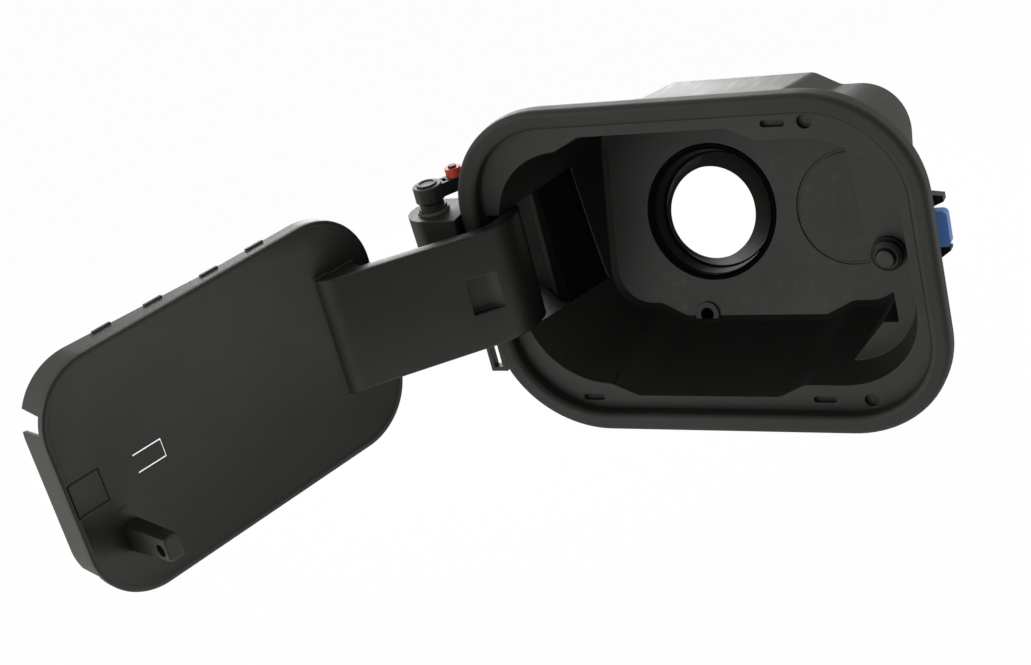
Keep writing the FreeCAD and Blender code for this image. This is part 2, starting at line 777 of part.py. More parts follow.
def make_flap():
    body = new_body("flap_carrier")
    panel = front(body, "panel_outline", "-flap_plane")
    trace(panel, panel_corners("0"))
    feature(body, "Pad", "panel", panel, "flap_thick")
    skirt = front(body, "skirt_outline", "-flap_plane - flap_thick")
    trace(skirt, panel_corners("(-skirt_inset)"))
    trace(skirt, panel_corners("(-skirt_inset - skirt_wall)"))
    feature(body, "Pad", "skirt", skirt, "skirt_depth")
    border = front(body, "border_outline", "-flap_plane")
    trace(border, panel_corners("0"))
    trace(border, panel_corners("(-border_width)"))
    feature(body, "Pad", "border", border, "border_height", back=True)
    pad = front(body, "push_pad_outline", "-flap_plane")
    for inset in ("0", "pad_groove"):
        half = "(pad_half - %s)" % inset
        block(pad, "latch_x - hinge_x - " + half, "latch_x - hinge_x + " + half, "latch_z - " + half,
              "latch_z + " + half, "pad_corner - " + inset)
    feature(body, "Pocket", "push_pad_groove", pad, "pad_groove", back=True)
    slits = front(body, "tongue_outline", "-flap_plane")
    for z in ("tongue_top", "tongue_low"):
        block(slits, "tongue_x - tongue_half - hinge_x", "tongue_x + tongue_half - hinge_x", z + " - slit / 2",
              z + " + slit / 2")
    feature(body, "Pocket", "tongue_slits", slits, "flap_thick", back=True)
    free_end = "flap_reach + flap_width / 2"
    notches = front(body, "skirt_notch_outline", "-flap_plane - flap_thick")
    for z in ("skirt_notch_top", "skirt_notch_low"):
        block(notches, free_end + " - skirt_corner", free_end + " + skirt_wall", z + " - skirt_notch / 2",
              z + " + skirt_notch / 2")
    feature(body, "Pocket", "skirt_notches", notches, "skirt_depth", back=True)
    add_arm(body)
    turn_with_flap(body, "-flap_open")
    return body


def add_arm(body):
    section = front(body, "arm_section", "-flap_plane - flap_thick / 2")
    block(section, "arm_root - arm_thick / 2", "arm_root + arm_thick / 2", "-arm_height / 2", "arm_height / 2")
    path = level(body, "arm_path")
    trace(path, [
        ("arm_root", "-flap_plane - flap_thick / 2", None),
        ("arm_root", "0", "arm_bend"),
        ("arm_peak_x", "arm_peak_y", "arm_knee"),
        ("arm_heel_x", "arm_heel_y", "arm_bend"),
        ("arm_end_x", "arm_end_y", None),
    ], closed=False)
    arm = body.newObject("PartDesign::AdditivePipe", "swan_neck")
    arm.Profile = section
    arm.Spine = (path, [""])
    doc.recompute()
    hollow_arm(body)
    knuckle = level(body, "knuckle_outline")
    ring(knuckle, "0", "0", "knuckle_radius")
    feature(body, "Pad", "knuckle", knuckle, "arm_height", both=True)
    bore = level(body, "knuckle_bore_outline")
    ring(bore, "0", "0", "shaft_radius + shaft_fit")
    feature(body, "Pocket", "knuckle_bore", bore, "2 * arm_height", both=True)


def on_arm(back, out):
    """A point of the arm's straight run: back from the knee's corner, and out of the run's middle."""
    run = "atan2(arm_peak_y; arm_root - arm_peak_x)"
    return ("arm_peak_x + (%s) * cos(%s) + (%s) * sin(%s)" % (back, run, out, run),
            "arm_peak_y - (%s) * sin(%s) + (%s) * cos(%s)" % (back, run, out, run))


def hollow_arm(body):
    """The pocket in the arm's inner face beside the knee, with a shallower scoop towards it."""
    cuts = (
        ("arm_pocket", "arm_pocket_step", "arm_pocket_to", "arm_pocket_depth", "arm_pocket_half"),
        ("arm_scoop", "arm_pocket_from", "arm_pocket_step", "arm_scoop_depth", "arm_scoop_half"),
    )
    for name, near, far, depth, half in cuts:
        sketch = level(body, name + "_outline")
        face = "arm_thick / 2"
        spots = [(near, face + " - " + depth), (near, "arm_thick"), (far, "arm_thick"), (far, face + " - " + depth)]
        trace(sketch, [on_arm(back, out) + (None,) for back, out in spots])
        feature(body, "Pocket", name, sketch, "2 * " + half, both=True)
    foot = front(body, "arm_foot_outline", "-flap_plane")
    reach = "arm_thick / 2 + arm_foot"
    block(foot, "arm_root - " + reach, "arm_root + " + reach, "-arm_height / 2", "arm_height / 2")
    top = front(body, "arm_foot_top", "-flap_plane + arm_foot_height")
    block(top, "arm_root - arm_thick / 2", "arm_root + arm_thick / 2", "-arm_height / 2", "arm_height / 2")
    loft(body, "AdditiveLoft", "arm_foot_flare", [foot, top])


# Striker: the finger on the flap whose eye takes the lock bolt
def make_striker():
    body = new_body("flap_striker")
    side = new_sketch(body, "finger_outline", "YZ_Plane", ("0", "0", "finger_x"))
    tip = "-flap_plane + finger_length"
    block(side, "-flap_plane", tip, "finger_z - finger_width / 2", "finger_z + finger_width / 2", "finger_round")
    ring(side, tip + " - eye_from_tip", "finger_z", "eye_radius")
    feature(body, "Pad", "finger", side, "finger_thick", both=True)
    turn_with_flap(body, "-flap_open")
    return body


# Hinge shaft, its two flanged bushes and the clip below
def make_hinge():
    shaft = new_body("hinge_shaft")
    low = "-(" + BUSH_TOP + " + 4 * clip_thick)"
    groove_top = "-(" + BUSH_TOP + " + end_gap)"
    groove_low = groove_top + " - clip_thick - 2 * end_gap"
    on_hinge(shaft, "shaft", [
        ("0", low, None),
        ("shaft_radius", low, None),
        ("shaft_radius", groove_low, None),
        ("shaft_radius - clip_bite", groove_low, None),
        ("shaft_radius - clip_bite", groove_top, None),
        ("shaft_radius", groove_top, None),
        ("shaft_radius", CRANK_TOP, None),
        ("0", CRANK_TOP, None),
    ])
    for name, sign in (("upper", ""), ("lower", "-")):
        bush = new_body("hinge_bush_" + name)
        inside = "%s(pocket_half + end_gap)" % sign
        seat = "%s(%s)" % (sign, POCKET_OUT)
        out = "%s(%s)" % (sign, BUSH_TOP)
        on_hinge(bush, name + "_bush", [
            (BUSH_BORE, inside, None),
            (BUSH_OUT, inside, None),
            (BUSH_OUT, seat, None),
            ("bush_flange", seat, None),
            ("bush_flange", out, None),
            (BUSH_BORE, out, None),
        ])
    clip = new_body("shaft_clip")
    bite = "shaft_radius - clip_bite + shaft_fit"
    on_hinge(clip, "clip_ring", stepped(groove_low + " + end_gap", groove_top + " - end_gap", bite, "bush_flange - clip_bite"))
    gap = level(clip, "clip_gap_outline", groove_low)
    block(gap, "hinge_x", "hinge_x + bush_flange", "hinge_y - clip_bite", "hinge_y + clip_bite")
    feature(clip, "Pocket", "clip_gap", gap, "2 * clip_thick", back=True)


# Crank on top of the shaft, the clip on its pin and the spring that draws the flap open
def make_crank():
    crank = new_body("crank_lever")
    turned(crank, "crank_collar", "XZ_Plane", ("0", "0", "0"), "V_Axis", [
        (BUSH_BORE, COLLAR_LOW, None),
        ("crank_radius", COLLAR_LOW, None),
        ("crank_radius", COLLAR_LOW + " + crank_step", None),
        ("crank_waist", COLLAR_LOW + " + crank_step", None),
        ("crank_waist", CRANK_LOW + " - crank_step", None),
        ("crank_radius", CRANK_LOW, None),
        ("crank_radius", CRANK_TOP, "crank_step / 2"),
        (BUSH_BORE, CRANK_TOP, None),
    ])
    arm = level(crank, "crank_arm_outline", CRANK_LOW)
    block(arm, "-crank_tip", "crank_length + crank_tip", "-crank_tip", "crank_tip", "crank_tip - end_gap")
    feature(crank, "Pad", "crank_arm", arm, "crank_height - crank_step")
    pin_top = level(crank, "crank_pin_outline", PIN_SEAT)
    ring(pin_top, "crank_length", "0", "crank_pin")
    feature(crank, "Pad", "crank_pin", pin_top, "clip_height + crank_step")
    dish = level(crank, "crank_dish_outline", PIN_SEAT)
    block(dish, "crank_radius + crank_dish", "crank_length - crank_tip - crank_dish", "-crank_pin", "crank_pin")
    feature(crank, "Pocket", "crank_dish", dish, "crank_height / 2")
    bore = level(crank, "crank_bore_outline", COLLAR_LOW)
    ring(bore, "0", "0", BUSH_BORE)
    feature(crank, "Pocket", "crank_bore", bore, "2 * (crank_collar + crank_height)", back=True)
    turn_with_flap(crank, "crank_angle")
    cap = new_body("spring_end_clip")
    seat = level(cap, "clip_seat_outline", PIN_SEAT + " + end_gap")
    ring(seat, "crank_length", "0", "crank_tip")
    ring(seat, "crank_length", "0", "crank_pin + shaft_fit")
    feature(cap, "Pad", "clip_body", seat, "clip_height")
    turn_with_flap(cap, "crank_angle")


TIP_X = "(hinge_x + crank_length * cos(crank_angle * 1deg))"
TIP_Y = "(hinge_y + crank_length * sin(crank_angle * 1deg))"


def make_spring():
    body = new_body("opening_spring")
    span = "sqrt(pow(post_x - %s; 2) + pow(post_y - %s; 2))" % (TIP_X, TIP_Y)
    start = "crank_tip + boot_gap"
    end = span + " - post_radius - boot_gap"
    sketch = new_sketch(body, "spring_section", "XY_Plane")
    block(sketch, start, end, "spring_radius - spring_wire", "spring_radius")
    tube = body.newObject("PartDesign::Revolution", "spring_coil")
    tube.Profile = sketch
    tube.ReferenceAxis = (sketch, ["H_Axis"])
    tube.Angle = 360
    angle = "atan2(post_y - %s; post_x - %s)" % (TIP_Y, TIP_X)
    body.Placement = FreeCAD.Placement(
        FreeCAD.Vector(), FreeCAD.Rotation(FreeCAD.Vector(0, 0, 1), number(angle + " / 1deg")))
    bind(body, "Placement.Rotation.Angle", angle)
    bind(body, "Placement.Base.x", TIP_X)
    bind(body, "Placement.Base.y", TIP_Y)
    bind(body, "Placement.Base.z", PIN_SEAT + " + clip_height / 2")
    return body


# Push latch behind the shelf: guide, plunger, boot, spring and the tab that holds the guide
def make_latch():
    guide_bore = "plunger_radius + plunger_gap"
    collar = guide_bore + " + latch_wall"
    end = LATCH_BACK
    guide = new_body("latch_guide")
    on_latch(guide, "guide", [
        (guide_bore, "shelf_depth", None),
        (collar, "shelf_depth", None),
        (collar, SHELF_BACK, None),
        ("latch_radius", SHELF_BACK, None),
        ("latch_radius", end, None),
        ("0", end, None),
        ("0", SHELF_BACK + " + plunger_travel", None),
        ("spring_pin", SHELF_BACK + " + plunger_travel", None),
        ("spring_pin", end + " - wall", None),
        (guide_bore, end + " - wall", None),
    ])
    tip = "shelf_depth - plunger_proud"
    tail = end + " - wall - plunger_travel - bolt_gap"
    floor_of_bore = tip + " + wall"
    plunger = new_body("latch_plunger")
    on_latch(plunger, "plunger", [
        ("0", tip, None),
        ("plunger_radius", tip, "plunger_radius / 4"),
        ("plunger_radius", tail, None),
        ("plunger_bore", tail, None),
        ("plunger_bore", floor_of_bore, None),
        ("0", floor_of_bore, None),
    ])
    boot = new_body("latch_boot")
    foot = collar + " + boot_gap"
    waist = "boot_radius - boot_fold"
    crest = "boot_radius"
    step = "(boot_height - boot_base) / 3"
    on_latch(boot, "boot", [
        (foot, "shelf_depth", None),
        (crest, "shelf_depth", None),
        (crest, "shelf_depth - boot_base", None),
        (waist, "shelf_depth - boot_base", None),
        (waist, "shelf_depth - boot_base - " + step, None),
        (crest + " - boot_fold / 2", "shelf_depth - boot_base - " + step, None),
        (crest + " - boot_fold / 2", "shelf_depth - boot_base - 2 * " + step, None),
        (waist + " - boot_fold", "shelf_depth - boot_height", None),
        (guide_bore, "shelf_depth - boot_height", None),
        (guide_bore, "shelf_depth - boot_base - " + step, None),
        (foot, "shelf_depth - boot_gap", None),
    ])
    coil = new_body("latch_spring")
    on_latch(coil, "coil", stepped(floor_of_bore + " + plunger_travel + boot_gap", end + " - wall",
                                   "spring_pin + 2 * end_gap", "plunger_bore - 2 * end_gap"))
    add_claws(guide)
    tab = new_body("latch_tab")
    shape = front(tab, "tab_outline", "tab_y - tab_thick / 2")
    block(shape, "mouth_right + tab_root", "mouth_right + tab_out", TAB_LOW, TAB_TOP, "tab_corner")
    feature(tab, "Pad", "tab", shape, "tab_thick", back=True)
    bolt = new_body("lock_bolt")
    turned(bolt, "bolt", "XY_Plane", ("0", EYE_Y, "finger_z"), "H_Axis", [
        (NOTCH_X + " + bolt_gap", "0", None),
        (NOTCH_X + " + bolt_length", "0", None),
        (NOTCH_X + " + bolt_length", "bolt_radius", None),
        (NOTCH_X + " + bolt_gap", "bolt_radius", "bolt_radius / 2"),
    ])


def add_claws(guide):
    """The plate beside the guide, and the two claws of it that hold the tab between them."""
    plate = front(guide, "claw_plate_outline", "tab_y - tab_thick / 2")
    root = "mouth_right + tab_root"
    tip = "mouth_right + claw_out"
    trace(plate, [
        ("latch_x + plunger_radius + latch_wall", CLAW_LOW, None),
        (root, CLAW_LOW, None),
        (tip, TAB_LOW + " - claw_gap - claw / 6", None),
        (tip, TAB_LOW + " - claw_gap", None),
        (root, TAB_LOW + " - claw_gap", None),
        (root, TAB_TOP + " + claw_gap", None),
        (tip, TAB_TOP + " + claw_gap + claw / 2", None),
        (tip, CLAW_TOP + " - claw / 6", None),
        (root, CLAW_TOP, None),
        ("latch_x + plunger_radius + latch_wall", CLAW_TOP, None),
    ])
    feature(guide, "Pad", "claw_plate", plate, "tab_thick", back=True)


make_housing()
make_seal()
make_grommet()
make_flap()
make_striker()
make_hinge()
make_crank()
make_spring()
make_latch()
doc.recompute()

TOOLS = ("bowl_space", "latch_space")
for item in doc.Objects:
    if "Invalid" in item.State or "Error" in item.State:
        raise RuntimeError("failed: %s %s" % (item.Name, item.State))
pieces = [o for o in doc.Objects if o.TypeId == "PartDesign::Body" and o.Label not in TOOLS]
for piece in pieces:
    if piece.Shape.isNull() or not piece.Shape.isValid():
        raise RuntimeError("bad shape: " + piece.Label)
os.makedirs("parts", exist_ok=True)
for piece in pieces:
    print(piece.Label, round(piece.Shape.Volume), len(piece.Shape.Solids))
    piece.Shape.exportStep("parts/%s.step" % piece.Label)
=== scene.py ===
# %% [markdown]
# # A fuel filler housing
# The housing is a black moulded bowl that sits behind the fuel door of a car. Its flap stands open
# on a swan-neck arm at the left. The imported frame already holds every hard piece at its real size.
# This lesson sets camera and light and gives each piece its finish. It also models again what needs
# finer forms than the frame has: the flap, its striker, the neck's collar and the springs.

# %% Load the frame
import bmesh
import bpy
import json
import math
from mathutils import Matrix, Vector


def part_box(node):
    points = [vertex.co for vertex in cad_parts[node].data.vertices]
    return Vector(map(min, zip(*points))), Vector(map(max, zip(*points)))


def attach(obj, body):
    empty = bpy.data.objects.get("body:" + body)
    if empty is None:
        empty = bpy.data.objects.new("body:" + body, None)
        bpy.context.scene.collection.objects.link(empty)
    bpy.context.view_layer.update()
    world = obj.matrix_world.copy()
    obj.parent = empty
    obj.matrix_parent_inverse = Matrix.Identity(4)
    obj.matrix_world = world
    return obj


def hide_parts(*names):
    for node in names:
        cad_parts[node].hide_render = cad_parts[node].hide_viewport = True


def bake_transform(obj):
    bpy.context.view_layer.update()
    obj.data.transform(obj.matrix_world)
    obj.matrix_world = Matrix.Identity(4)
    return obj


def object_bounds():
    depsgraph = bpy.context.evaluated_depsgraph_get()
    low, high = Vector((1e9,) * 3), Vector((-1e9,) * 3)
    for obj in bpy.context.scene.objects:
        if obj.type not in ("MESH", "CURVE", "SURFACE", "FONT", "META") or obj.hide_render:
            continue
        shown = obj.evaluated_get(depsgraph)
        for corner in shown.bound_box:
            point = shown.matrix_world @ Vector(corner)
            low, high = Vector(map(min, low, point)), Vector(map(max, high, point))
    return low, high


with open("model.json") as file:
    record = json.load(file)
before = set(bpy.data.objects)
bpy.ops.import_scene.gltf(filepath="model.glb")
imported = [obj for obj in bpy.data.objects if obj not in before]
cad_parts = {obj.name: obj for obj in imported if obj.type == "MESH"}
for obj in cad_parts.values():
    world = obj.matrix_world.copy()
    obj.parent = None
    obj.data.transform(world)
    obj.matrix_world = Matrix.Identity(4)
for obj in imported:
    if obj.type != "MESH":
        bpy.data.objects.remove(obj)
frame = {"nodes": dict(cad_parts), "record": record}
cad_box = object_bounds()
MM = 0.001
print("pieces in the frame:", len(frame["nodes"]))

# %% [markdown]
# ## Camera
# The picture was taken from the right and from above, with the camera rolled a little. Blender can
# aim a camera with a Track To constraint, but a constraint can't roll it. Here three axes are worked
# out from the two viewing angles and turned by the roll, and the matrix is built from them.

# %% Camera
VIEW_TURN = 0.55
VIEW_RISE = 0.449
VIEW_ROLL = -0.266
VIEW_DISTANCE = 833.7 * MM
VIEW_TARGET = Vector((-90.86, 0.87, -26.89)) * MM
LENS = 65.96
SENSOR = 36.0


def aim_camera():
    """A camera at the picture's place, angle and roll."""
    back = Vector((math.sin(VIEW_TURN) * math.cos(VIEW_RISE),
                   -math.cos(VIEW_TURN) * math.cos(VIEW_RISE),
                   math.sin(VIEW_RISE)))
    right = Vector((math.cos(VIEW_TURN), math.sin(VIEW_TURN), 0.0))
    up = back.cross(right)
    rolled_right = right * math.cos(VIEW_ROLL) + up * math.sin(VIEW_ROLL)
    rolled_up = up * math.cos(VIEW_ROLL) - right * math.sin(VIEW_ROLL)
    lens = bpy.data.cameras.new("camera")
    lens.lens = LENS
    lens.sensor_width = SENSOR
    lens.sensor_fit = "HORIZONTAL"
    camera = bpy.data.objects.new("camera", lens)
    turn = Matrix((rolled_right, rolled_up, back)).transposed().to_4x4()
    camera.matrix_world = Matrix.Translation(VIEW_TARGET + back * VIEW_DISTANCE) @ turn
    bpy.context.scene.collection.objects.link(camera)
    bpy.context.scene.camera = camera
    return camera


camera = aim_camera()
bpy.context.scene.view_settings.view_transform = "Standard"
print("camera at", tuple(round(v, 3) for v in camera.location))

# %% [markdown]
# ## Nodes in one line
# Shader nodes take several lines each when they are made by hand. A small helper makes one node,
# sets it up and wires its inputs in a single call, so that a material reads like a recipe.

# %% Node helpers
def place(tree, kind, inputs=None, **settings):
    """One node. Each input is a value, or another node's output that is wired to it."""
    node = tree.nodes.new(kind)
    for name, value in settings.items():
        setattr(node, name, value)
    for name, value in (inputs or {}).items():
        if isinstance(value, bpy.types.NodeSocket):
            tree.links.new(value, node.inputs[name])
        else:
            node.inputs[name].default_value = value
    return node


def new_finish(name):
    """A material with an empty node tree, and the tree."""
    finish = bpy.data.materials.new(name)
    finish.use_nodes = True
    finish.node_tree.nodes.clear()
    return finish, finish.node_tree


def new_group(name, takes, gives):
    """An empty shader group with its named sockets, and its two end nodes."""
    tree = bpy.data.node_groups.new(name, "ShaderNodeTree")
    for label, value in takes.items():
        socket = tree.interface.new_socket(label, in_out="INPUT", socket_type="NodeSocketFloat")
        socket.default_value = value
    for label, kind in gives.items():
        tree.interface.new_socket(label, in_out="OUTPUT", socket_type=kind)
    return tree, tree.nodes.new("NodeGroupInput"), tree.nodes.new("NodeGroupOutput")


def use_group(tree, name, inputs=None):
    """A group placed in a material, with its own values."""
    return place(tree, "ShaderNodeGroup", inputs, node_tree=bpy.data.node_groups[name])


def maths(tree, operation, first, second):
    """A Math node's result."""
    return place(tree, "ShaderNodeMath", {0: first, 1: second}, operation=operation).outputs[0]


def agreement(tree, first, second):
    """The dot product of two directions, which is 1 where they agree."""
    inputs = {0: first, 1: second}
    return place(tree, "ShaderNodeVectorMath", inputs, operation="DOT_PRODUCT").outputs["Value"]


def spread(tree, value, low, high, start=0.0, end=1.0):
    """A value stretched from one range to another and held inside it."""
    inputs = {"Value": value, "From Min": low, "From Max": high, "To Min": start, "To Max": end}
    return place(tree, "ShaderNodeMapRange", inputs).outputs["Result"]


def mix_colours(tree, factor, dark, light):
    """A colour between two, by a mask."""
    inputs = {"Factor": factor, 6: (*dark, 1.0), 7: (*light, 1.0)}
    return place(tree, "ShaderNodeMix", inputs, data_type="RGBA").outputs[2]


print("node helpers ready")

# %% [markdown]
# ## Background and floor
# Catalogue pictures stand on pure white. More light would wash the black plastic out, so the white is
# an emission of strength 1 that the camera sees. Black plastic takes most of its shading from what it
# mirrors, so reflections see a room: slightly warm, bright at the sides, darker in front and behind.
# Diffuse rays see a calm grey, which fills the shadows a little.

# %% World and floor
FILL_LIGHT = 0.4
FLOOR_DROP = 330 * MM
FLOOR_SIZE = 6.0
FLOOR_GLOW = 0.97
PAPER = (0.9, 0.9, 0.9, 1.0)
DARK_SIDE = (0.47, -0.77, 0.43)
ROOM_BRIGHT = 1.2
ROOM_DARK = 0.4
FRONT_FADE = (0.05, 0.7)
BACK_FADE = (-0.75, -0.15)
WARM_WHITE = (1.0, 0.985, 0.92)
PURE_WHITE = (1.0, 1.0, 1.0)


def seen_directly(tree):
    """1 for rays from the camera, and for reflected and refracted rays."""
    path = tree.nodes.new("ShaderNodeLightPath")
    seen = maths(tree, "MAXIMUM", path.outputs["Is Camera Ray"], path.outputs["Is Glossy Ray"])
    return maths(tree, "MAXIMUM", seen, path.outputs["Is Transmission Ray"])


def room_light(tree, vector):
    """Colour and strength by direction: white for the camera, the room for reflections."""
    way = place(tree, "ShaderNodeVectorMath", {0: vector}, operation="NORMALIZE").outputs[0]
    facing = agreement(tree, way, DARK_SIDE)
    direct = tree.nodes.new("ShaderNodeLightPath").outputs["Is Camera Ray"]
    front = spread(tree, facing, *FRONT_FADE, ROOM_BRIGHT, ROOM_DARK)
    behind = spread(tree, facing, *BACK_FADE, ROOM_DARK, ROOM_BRIGHT)
    return {"Color": mix_colours(tree, direct, WARM_WHITE, PURE_WHITE),
            "Strength": maths(tree, "MAXIMUM", maths(tree, "MINIMUM", front, behind), direct)}


def mix_shaders(tree, factor, first, second):
    """A shader between two, by a mask."""
    inputs = {0: factor, 1: first.outputs[0], 2: second.outputs[0]}
    return place(tree, "ShaderNodeMixShader", inputs).outputs[0]


def light_world():
    """The room for direct rays, a calm fill for all others."""
    world = bpy.data.worlds.new("studio")
    bpy.context.scene.world = world
    world.use_nodes = True
    tree = world.node_tree
    tree.nodes.clear()
    around = tree.nodes.new("ShaderNodeTexCoord").outputs["Generated"]
    white = place(tree, "ShaderNodeBackground", room_light(tree, around))
    fill = place(tree, "ShaderNodeBackground", {"Color": (*PURE_WHITE, 1.0), "Strength": FILL_LIGHT})
    mixed = mix_shaders(tree, seen_directly(tree), fill, white)
    place(tree, "ShaderNodeOutputWorld", {"Surface": mixed})


def lay_floor():
    """A wide pale sheet below the object that keeps a soft shadow."""
    mesh = bpy.data.meshes.new("floor")
    form = bmesh.new()
    bmesh.ops.create_grid(form, x_segments=1, y_segments=1, size=FLOOR_SIZE)
    form.to_mesh(mesh)
    form.free()
    floor = bpy.data.objects.new("floor", mesh)
    floor.location.z = cad_box[0][2] - FLOOR_DROP
    bpy.context.scene.collection.objects.link(floor)
    finish, tree = new_finish("floor_paper")
    paper = place(tree, "ShaderNodeBsdfDiffuse", {"Color": PAPER})
    where = tree.nodes.new("ShaderNodeNewGeometry").outputs["Position"]
    white = place(tree, "ShaderNodeEmission", room_light(tree, where))
    glow = maths(tree, "MULTIPLY", seen_directly(tree), FLOOR_GLOW)
    place(tree, "ShaderNodeOutputMaterial", {"Surface": mix_shaders(tree, glow, paper, white)})
    mesh.materials.append(finish)
    return floor


light_world()
print("floor at", round(lay_floor().location.z, 3))

# %% [markdown]
# ## Lamps
# Black plastic shows its form by soft reflections. One wide lamp stands near the camera and lights
# what faces it, one hangs behind and above and draws a bright line along the upper edges.

# %% Lamps
def hang_lamp(name, place_mm, target_mm, size, power):
    """A square soft lamp that looks at a target."""
    lamp = bpy.data.lights.new(name, "AREA")
    lamp.size = size
    lamp.energy = power
    holder = bpy.data.objects.new(name, lamp)
    spot = Vector(place_mm) * MM
    holder.location = spot
    holder.rotation_euler = (spot - Vector(target_mm) * MM).to_track_quat("Z", "Y").to_euler()
    bpy.context.scene.collection.objects.link(holder)
    return holder


LAMPS = [
    hang_lamp("front_lamp", (-800, -1300, 150), (-20, 0, 0), size=1.5, power=9.0),
    hang_lamp("back_lamp", (-660, 980, 290), (0, 80, 45), size=0.7, power=9.0),
]
print("lamps:", [lamp.name for lamp in LAMPS])

# %% [markdown]
# ## Moulded skin
# A moulding has no knife-sharp edge: each corner is rounded by a few tenths of a millimetre and
# catches light. The rounding could be modelled, but a Bevel node gives the same normals on any mesh.
# On top comes the eroded grain of the tool, as fine noise. The group also gives a mask of the edges,
# found where the rounded normal leaves the true one.

# %% Group: moulded skin
BEVEL_SAMPLES = 6
EDGE_FADE = (0.995, 0.75)


def make_moulded_skin():
    takes = {"Edge": 0.5 * MM, "Grain scale": 2200.0, "Grain depth": 0.02 * MM}
    gives = {"Normal": "NodeSocketVector", "Edge mask": "NodeSocketFloat", "Grain": "NodeSocketFloat"}
    tree, start, end = new_group("moulded_skin", takes, gives)
    where = tree.nodes.new("ShaderNodeTexCoord").outputs["Object"]
    radius = start.outputs["Edge"]
    rounded = place(tree, "ShaderNodeBevel", {"Radius": radius}, samples=BEVEL_SAMPLES).outputs[0]
    inputs = {"Vector": where, "Scale": start.outputs["Grain scale"], "Detail": 3.0, "Roughness": 0.6}
    grain = place(tree, "ShaderNodeTexNoise", inputs).outputs[0]
    inputs = {"Height": grain, "Strength": 1.0, "Distance": start.outputs["Grain depth"],
              "Normal": rounded}
    bump = place(tree, "ShaderNodeBump", inputs)
    true_normal = tree.nodes.new("ShaderNodeNewGeometry").outputs["Normal"]
    edge = spread(tree, agreement(tree, rounded, true_normal), *EDGE_FADE)
    tree.links.new(bump.outputs[0], end.inputs["Normal"])
    tree.links.new(edge, end.inputs["Edge mask"])
    tree.links.new(grain, end.inputs["Grain"])
    return tree


print("group:", make_moulded_skin().name)

# %% [markdown]
# ## Cloudy gloss and rub marks
# No moulding is evenly matt. Flow of the melt leaves broad clouds of gloss, and handling leaves fine
# rub marks along one direction. Both are noise at different scales, kept in one group that feeds
# roughness and a slight change of colour.

# %% Group: handled surface
RUB_STRETCH = (1.0, 0.06, 1.0)
RUB_FADE = (0.55, 0.75)
CLOUD_FADE = (0.3, 0.7)


def make_handled_surface():
    takes = {"Cloud scale": 22.0, "Rub scale": 260.0, "Rub amount": 0.5}
    gives = {"Cloud": "NodeSocketFloat", "Rub": "NodeSocketFloat"}
    tree, start, end = new_group("handled_surface", takes, gives)
    where = tree.nodes.new("ShaderNodeTexCoord").outputs["Object"]
    inputs = {"Vector": where, "Scale": start.outputs["Cloud scale"], "Detail": 4.0, "Roughness": 0.55}
    cloud = place(tree, "ShaderNodeTexNoise", inputs).outputs[0]
    stretched = place(tree, "ShaderNodeMapping", {"Vector": where, "Scale": RUB_STRETCH}).outputs[0]
    inputs = {"Vector": stretched, "Scale": start.outputs["Rub scale"], "Detail": 2.0}
    rub = spread(tree, place(tree, "ShaderNodeTexNoise", inputs).outputs[0], *RUB_FADE)
    rub = maths(tree, "MULTIPLY", rub, start.outputs["Rub amount"])
    tree.links.new(spread(tree, cloud, *CLOUD_FADE), end.inputs["Cloud"])
    tree.links.new(rub, end.inputs["Rub"])
    return tree


print("group:", make_handled_surface().name)

# %% [markdown]
# ## Plastics and rubbers
# Every plastic and rubber here is one recipe with other numbers: a base colour that lightens at the
# edges, roughness that follows the clouds and rub marks, and the normal from the moulded skin. The
# neck's collar and the wall by the hinge lie deep in the shade of the bowl, so each has a darker copy
# of its finish with painted shade: a near-black colour that mirrors very little.

# %% Plastic and rubber recipe
CLOUD_TONE = 0.45
EDGE_TONE = 0.5
GRAIN_TONE = 0.2
CLOUD_GLOSS = 0.5
FINISHES = {}


def moulding(name, dark, light, matt, shine, edge=0.5, grain=2200.0, depth=0.02, mirror=0.5):
    """A moulded finish: two tones, two roughnesses, edge radius and grain depth in millimetres."""
    finish, tree = new_finish(name)
    mould = use_group(tree, "moulded_skin",
                      {"Edge": edge * MM, "Grain scale": grain, "Grain depth": depth * MM})
    worn = use_group(tree, "handled_surface")
    tone = maths(tree, "MULTIPLY", worn.outputs["Cloud"], CLOUD_TONE)
    for mask, share in (("Edge mask", EDGE_TONE), ("Grain", GRAIN_TONE)):
        tone = maths(tree, "ADD", tone, maths(tree, "MULTIPLY", mould.outputs[mask], share))
    gloss = maths(tree, "MULTIPLY", worn.outputs["Cloud"], CLOUD_GLOSS)
    gloss = maths(tree, "ADD", gloss, worn.outputs["Rub"])
    shader = place(tree, "ShaderNodeBsdfPrincipled", {
        "Base Color": mix_colours(tree, tone, dark, light),
        "Roughness": spread(tree, gloss, 0.0, 1.0, matt, shine),
        "Normal": mould.outputs["Normal"],
        "Specular IOR Level": mirror,
    })
    place(tree, "ShaderNodeOutputMaterial", {"Surface": shader.outputs[0]})
    FINISHES[name] = finish


